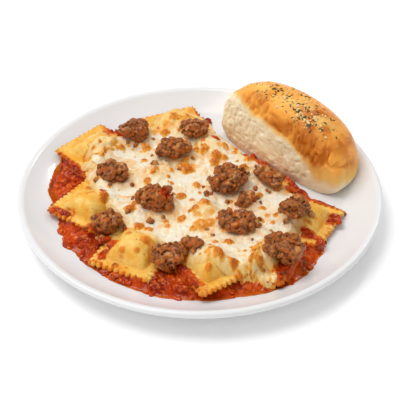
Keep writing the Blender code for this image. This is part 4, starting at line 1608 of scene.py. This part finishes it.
@dataclass
class BreadRoll:
    """A roll torn from its neighbours: a pale torn front, and a golden crust over the rest."""

    plate: Plate
    finish: Bread
    centre: tuple = (0.0688, 0.0521)
    turn: float = -45.0
    slope: float = -0.08
    undercut: float = 0.18
    end_fullness: float = 0.78
    front_fullness: float = 0.45
    back_fullness: float = 0.85
    top_fullness: float = 0.85
    segments: int = 300
    rings: int = 170
    gap: float = 0.0003
    # Height of the crust's lower edge at the middle of the torn side, and its fall along it.
    crust_height: float = 0.0442
    crust_fall: float = 0.25
    crust_height_behind: float = 0.0250

    def __post_init__(self) -> None:
        """Measure the roll's length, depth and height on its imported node."""
        turn = math.radians(self.turn)
        self.along = np.array([math.cos(turn), math.sin(turn)])
        self.across = np.array([-math.sin(turn), math.cos(turn)])
        points = points_of(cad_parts["bread_roll"])
        plan = points[:, :2] - np.array(self.centre)
        self.length = 2 * (plan @ self.along).max()
        self.front = -(plan @ self.across).min()
        self.back = (plan @ self.across).max()
        u = np.clip((plan @ self.along) / (self.length / 2), -1.0, 1.0)
        rise = points[:, 2] - self.plate.floor_top
        self.height = (rise / (1.0 + self.slope * u)).max()

    def body(self, ball: np.ndarray) -> tuple:
        """Swell a ball into the plain roll.

        Args:
            ball: Places on a ball of radius 1.

        Returns:
            Places on the roll, and the same in its own frame: along, across and height.
        """
        x, y, z = ball.T
        along = np.sign(x) * np.abs(x) ** self.end_fullness
        u = along * self.length / 2
        v = np.where(
            y < 0,
            -np.abs(y) ** self.front_fullness * self.front,
            np.abs(y) ** self.back_fullness * self.back,
        )
        height = self.height * (1.0 + self.slope * along)
        widest = height * self.undercut
        rise = np.where(
            z < 0,
            -np.minimum(1.0, -2.0 * z) * widest,
            np.abs(z) ** self.top_fullness * (height - widest),
        )
        level = self.plate.floor_top + self.gap + widest + rise
        plan = u[:, None] * self.along + v[:, None] * self.across + np.array(self.centre)
        return np.c_[plan, level], np.c_[u, v, level]

    def crust_line(self, local: np.ndarray) -> np.ndarray:
        """Height of the crust's lower edge round the roll."""
        front = self.crust_height - self.crust_fall * local[:, 0]
        front = np.clip(front, 0.032, 0.054)
        share = smooth(local[:, 1], -0.6 * self.front, 0.4 * self.back)
        wander = np.c_[local[:, :2], np.zeros(len(local))]
        rough = 0.0036 * bumps(wander, 0.012, 3.0) + 0.0028 * bumps(wander, 0.0045, 6.0)
        return front + (self.crust_height_behind - front) * share + rough

    def build(self) -> bpy.types.Object:
        """Shape the roll, tear its front and wrinkle its crust."""
        deselect()
        bpy.ops.mesh.primitive_uv_sphere_add(segments=self.segments, ring_count=self.rings, radius=1.0)
        piece = take(bpy.context.object, "bread_roll_baked")
        bpy.ops.object.mode_set(mode="EDIT")
        bpy.ops.mesh.select_all(action="SELECT")
        bpy.ops.transform.rotate(value=math.pi / 2, orient_axis="Y", center_override=(0.0, 0.0, 0.0))
        bpy.ops.object.mode_set(mode="OBJECT")
        places, local = self.body(points_of(piece))
        set_points(piece, places)
        flat = np.empty(len(places) * 3, np.float32)
        piece.data.vertices.foreach_get("normal", flat)
        normals = flat.reshape(-1, 3).astype(float)

        line = self.crust_line(local)
        above = local[:, 2] - line
        whole = smooth(local[:, 0], 0.028, 0.048)
        crust = smooth((above + 0.0030 + 0.018 * whole) / (1.0 + 2.6 * whole), 0.0, 0.0095)
        torn = 1.0 - smooth(above, -0.006, 0.001)
        torn *= (1.0 - smooth(local[:, 1], -0.75 * self.front, 0.1 * self.back)) * (1.0 - 0.9 * whole)
        foot = smooth(local[:, 2], self.plate.floor_top + 0.002, self.plate.floor_top + 0.010)
        shreds = np.c_[local[:, 0], local[:, 1], local[:, 2] * 0.55]
        push = torn * (
            0.0012 * bumps(shreds, 0.0085, 1.0)
            + 0.0012 * (pebbles(shreds, 0.0062, 2.0) - 0.6)
            + 0.0006 * bumps(shreds, 0.0030, 3.0)
            + 0.00030 * bumps(local, 0.0015, 4.0)
        )
        pores = smooth(bumps(local, 0.0030, 8.0), 0.30, 0.55)
        push -= 0.0012 * torn * pores
        stretched = np.c_[local[:, 0], 0.30 * local[:, 1], 0.30 * local[:, 2]]
        crease = 1.0 - smooth(np.abs(bumps(stretched, 0.0042, 5.0)), 0.0, 0.30)
        band = smooth(above, 0.0, 0.004) * (1.0 - smooth(above, 0.010, 0.026))
        band *= 1.0 - smooth(local[:, 1], -0.2 * self.front, 0.4 * self.back)
        push -= 0.0020 * band * crease
        push += crust * (0.0006 * bumps(local, 0.020, 6.0) + 0.00012 * bumps(local, 0.0022, 9.0))
        push += (1.0 - crust) * (1.0 - torn) * 0.0005 * bumps(local, 0.009, 2.5)
        places += normals * (push * foot)[:, None]
        floor = np.array([self.plate.top(radius) for radius in np.hypot(places[:, 0], places[:, 1])])
        places[:, 2] = np.maximum(places[:, 2], floor + self.gap)
        set_points(piece, places)
        bpy.ops.object.mode_set(mode="EDIT")
        bpy.ops.mesh.select_all(action="SELECT")
        bpy.ops.mesh.normals_make_consistent(inside=False)
        bpy.ops.object.mode_set(mode="OBJECT")
        set_mask(piece, Mask.CRUST, crust * (0.90 + 0.25 * bumps(local, 0.010, 4.0)))
        # Crust darkness in the toast mask: darker from the middle towards the right end, partly browning and partly
        # painted shade on the side away from the light; lighter again at the very end, a painted highlight; lighter
        # towards the back; random blotches; and painted shade in the creases of the wrinkled band.
        glow = bumps(local, 0.022, 11.0)
        baked = 0.25 + 0.55 * smooth(local[:, 0], -0.010, 0.030) * (1.0 - smooth(local[:, 0], 0.046, 0.060))
        baked *= 1.0 - 0.45 * smooth(local[:, 1], 0.0, 0.018)
        set_mask(piece, Mask.TOAST, baked + 0.30 * glow + 0.25 * band * crease)
        strip = np.exp(-(((local[:, 1] - 0.004) / 0.011) ** 2)) * (1.0 - smooth(np.abs(local[:, 0] - 0.002), 0.030, 0.050))
        set_mask(piece, Mask.STAIN, crust * strip * smooth(bumps(local, 0.009, 13.0), -0.30, 0.35) * 0.75)
        # Painted shade: darker in the pores of the torn crumb, and a little darker on the pale sides that have neither
        # crust nor tear.
        set_mask(piece, Mask.SHADE, np.maximum(0.9 * torn * pores, 0.25 * (1.0 - torn) * (1.0 - crust)))
        add_piece(piece, Slot.BREAD, self.finish.make(), "bread_roll")
        return piece

    def place(self, u: float, v: float) -> tuple:
        """Plan place of a point in the roll's own frame."""
        plan = np.array(self.centre) + u * self.along + v * self.across
        return float(plan[0]), float(plan[1])


@dataclass(frozen=True)
class Sprinkle:
    """A patch of seasoning on the roll: middle, spread along and across, and share."""

    u: float
    v: float
    along: float
    across: float
    share: float


@dataclass
class Topping:
    """Seasoning sprinkled on the roll's crust."""

    name: str
    material: bpy.types.Material
    count: int
    smallest: float
    largest: float
    flatness: tuple
    seed: int
    patches: tuple = (
        Sprinkle(-0.014, 0.001, 0.012, 0.006, 0.20),
        Sprinkle(0.012, -0.001, 0.003, 0.004, 0.14),
        Sprinkle(0.018, -0.006, 0.003, 0.003, 0.16),
        Sprinkle(0.005, 0.010, 0.018, 0.008, 0.24),
        Sprinkle(0.027, -0.002, 0.003, 0.006, 0.12),
        Sprinkle(0.036, 0.006, 0.010, 0.009, 0.08),
        Sprinkle(0.000, 0.002, 0.026, 0.012, 0.12),
    )

    def build(self, bread: BreadRoll, crust: Landscape) -> bpy.types.Object:
        """Scatter the bits and press them onto the crust.

        Args:
            bread: The roll, for its own frame.
            crust: The roll's surface.

        Returns:
            One piece with all the bits.
        """
        draw = np.random.default_rng(self.seed)
        deselect()
        bpy.ops.mesh.primitive_ico_sphere_add(subdivisions=2, radius=1.0)
        bit = take(bpy.context.object, "bit")
        ball = points_of(bit)
        set_points(bit, ball * (0.8 + 0.45 * bumps(ball, 0.8, self.seed))[:, None])
        shares = np.array([patch.share for patch in self.patches])
        frames = []
        for _ in range(self.count):
            patch = self.patches[draw.choice(len(shares), p=shares / shares.sum())]
            u = draw.normal(patch.u, patch.along)
            v = draw.normal(patch.v, patch.across)
            x, y = bread.place(u, v)
            z = crust.height(x, y)
            if z < 0.045:
                continue
            up = np.array(crust.normal(x, y))
            side = np.cross(up, (math.cos(draw.uniform(0, math.tau)), math.sin(draw.uniform(0, math.tau)), 0.3))
            side /= np.linalg.norm(side)
            size = self.smallest + (self.largest - self.smallest) * draw.random() ** 1.7
            scales = size * np.array(self.flatness) * draw.uniform(0.7, 1.25, 3)
            axes = np.array([side, np.cross(up, side), up]) * scales[:, None]
            frames.append((axes, np.array([x, y, z]) + up * scales[2] * 0.4))
        piece = join_copies(self.name, bit, frames)
        add_piece(piece, Slot.BREAD, self.material)
        return piece


@dataclass
class Pepper:
    """Pepper and dried herb specks over the pasta and cheese."""

    material: bpy.types.Material
    count: int = 260
    smallest: float = 0.00016
    largest: float = 0.00042

    def build(self, ground: Landscape) -> bpy.types.Object:
        """Scatter the specks over the middle of the plate.

        Args:
            ground: Pasta and cheese.

        Returns:
            One piece with all the specks.
        """
        draw = np.random.default_rng(5)
        deselect()
        bpy.ops.mesh.primitive_ico_sphere_add(subdivisions=1, radius=1.0)
        bit = take(bpy.context.object, "speck")
        frames = []
        while len(frames) < self.count:
            x, y = draw.uniform(-0.115, 0.110), draw.uniform(-0.110, 0.110)
            z = ground.height(x, y)
            if z < 0.012:
                continue
            size = self.smallest + (self.largest - self.smallest) * draw.random() ** 2
            scales = size * np.array([1.3, 0.9, 0.5])
            frames.append((tumbled(draw, 0.6) * scales[:, None], np.array([x, y, z + 0.2 * size])))
        piece = join_copies("pepper_specks", bit, frames)
        add_piece(piece, Slot.CHEESE, self.material)
        return piece


# ---------------------------------------------------------------- studio


@dataclass
class Studio:
    """A pale floor, soft light from behind on the left, and the camera."""

    distance: float = 0.9
    elevation: float = 39.026
    aim: float = 0.00987
    lens: float = 102.78
    floor_size: float = 6.0
    floor_colour: tuple = (0.93, 0.93, 0.93)
    floor_glow: float = 0.085
    room_light: float = 0.60
    room_gloss: float = 0.07
    key_power: float = 15.0
    key_place: tuple = (-0.55, 0.18, 1.45)
    key_size: float = 1.0
    fill_power: float = 1.5
    fill_place: tuple = (-0.70, -1.00, 0.62)
    fill_size: float = 0.5
    spark_power: float = 1.6
    spark_place: tuple = (0.45, 0.80, 0.80)
    spark_size: float = 0.14

    def build(self) -> None:
        """Set up the floor, the lights and the camera."""
        self.floor()
        self.room()
        self.lamp("key_light", self.key_place, self.key_size, self.key_power)
        self.lamp("fill_light", self.fill_place, self.fill_size, self.fill_power)
        self.lamp("spark_light", self.spark_place, self.spark_size, self.spark_power)
        self.camera()

    def floor(self) -> None:
        """A wide pale floor under the plate's foot."""
        deselect()
        bpy.ops.mesh.primitive_plane_add(size=self.floor_size, location=(0.0, 0.0, 0.0))
        floor = take(bpy.context.object, "studio_floor")
        material = bpy.data.materials.new("studio_floor")
        material.use_nodes = True
        shader = material.node_tree.nodes["Principled BSDF"]
        shader.inputs["Base Color"].default_value = (*self.floor_colour, 1.0)
        shader.inputs["Roughness"].default_value = 0.9
        shader.inputs["Specular IOR Level"].default_value = 0.1
        shader.inputs["Emission Color"].default_value = (1.0, 1.0, 1.0, 1.0)
        shader.inputs["Emission Strength"].default_value = self.floor_glow
        floor.data.materials.append(material)

    def room(self) -> None:
        """Even white light from all round, dimmer where it is mirrored in wet surfaces."""
        world = bpy.data.worlds.new("studio")
        world.use_nodes = True
        graph = Graph(world.node_tree)
        background = world.node_tree.nodes["Background"]
        background.inputs["Color"].default_value = (1.0, 1.0, 1.0, 1.0)
        mirrored = graph.add("LightPath").outputs["Is Glossy Ray"]
        strength = graph.spread(mirrored, 0.0, 1.0, self.room_light, self.room_gloss)
        world.node_tree.links.new(strength, background.inputs["Strength"])
        bpy.context.scene.world = world

    def lamp(self, name: str, place: tuple, size: float, power: float) -> None:
        """Hang one square lamp that faces the plate.

        Args:
            name: Name of the lamp.
            place: Where it hangs.
            size: Width of its panel.
            power: Its power in watts.
        """
        data = bpy.data.lights.new(name, "AREA")
        data.size = size
        data.energy = power
        lamp = bpy.data.objects.new(name, data)
        lamp.location = place
        lamp.rotation_euler = (-Vector(place)).to_track_quat("-Z", "Y").to_euler()
        bpy.context.scene.collection.objects.link(lamp)

    def camera(self) -> None:
        """Look down on the plate from the front."""
        data = bpy.data.cameras.new("camera")
        data.lens = self.lens
        data.sensor_width = 36.0
        data.clip_start = 0.01
        camera = bpy.data.objects.new("camera", data)
        rise = math.radians(self.elevation)
        camera.location = (0.0, self.aim - self.distance * math.cos(rise), self.distance * math.sin(rise))
        camera.rotation_euler = (math.pi / 2 - rise, 0.0, 0.0)
        bpy.context.scene.collection.objects.link(camera)
        bpy.context.scene.camera = camera


def main() -> None:
    """Build every piece in order and report each."""
    logging.basicConfig(level=logging.INFO, format="%(name)s: %(message)s")
    bpy.context.scene.view_settings.view_transform = "Standard"
    effects = Effects()
    plate = Plate(Glaze(effects))
    plate.build()

    dough = Pasta(effects).make()
    names = sorted(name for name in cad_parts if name.startswith("ravioli_"))
    ravioli = [Raviolo(name, dough, 2.7 * index).build() for index, name in enumerate(names)]

    tomato = TomatoSauce(effects).make()
    pool = SaucePool(plate, tomato).build(ravioli)
    smears = Runs("tomato_sauce_smears", Slot.SAUCE, tomato, SMEARS).build(Landscape([pool, *ravioli]))

    meat = SausageMeat(effects).make()
    nodes = sorted(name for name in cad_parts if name.startswith("sausage_"))
    sausage = [SausagePiece(name, meat, index).build() for index, name in enumerate(nodes)]

    melted = MeltedCheese(effects).make()
    cheese = Cheese(melted).build(Landscape([pool, smears, *ravioli]), Landscape(sausage))
    runs = Runs("melted_cheese_runs", Slot.CHEESE, melted, CHEESE_RUNS, 0.7, 0.8, 5).build(Landscape([cheese, pool, smears, *ravioli]))
    below = Landscape([cheese, runs, pool, smears, *ravioli])
    for lump in sausage:
        seat(lump, below)
    food = Landscape([cheese, runs, *sausage])
    Runs("tomato_on_cheese", Slot.SAUCE, tomato, TOMATO_ON_TOP, 0.0, 0.4, 5).build(food)
    MeatCrumbs(meat).build(below, nodes)
    covered = Landscape([cheese, *ravioli, *sausage])
    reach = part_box("sauce")[1].length
    TomatoPieces(tomato).build(Landscape([pool, smears]), covered, reach)
    seasoning = Seasoning(effects, name="pepper", dark=(0.05, 0.03, 0.012), light=(0.16, 0.10, 0.03)).make()
    Pepper(seasoning).build(below)

    bread = BreadRoll(plate, Bread(effects))
    roll = Landscape([bread.build()])
    herb = Seasoning(effects).make()
    Topping("dried_herbs", herb, 190, 0.0005, 0.0014, (1.45, 0.65, 0.3), 31).build(bread, roll)
    garlic = Seasoning(effects, name="garlic_crumbs", dark=(0.82, 0.52, 0.18), light=(0.91, 0.68, 0.32)).make()
    Topping("garlic_crumbs", garlic, 170, 0.0004, 0.0017, (1.0, 0.85, 0.65), 32).build(bread, roll)

    Studio().build()


if __name__ == "__main__":
    main()
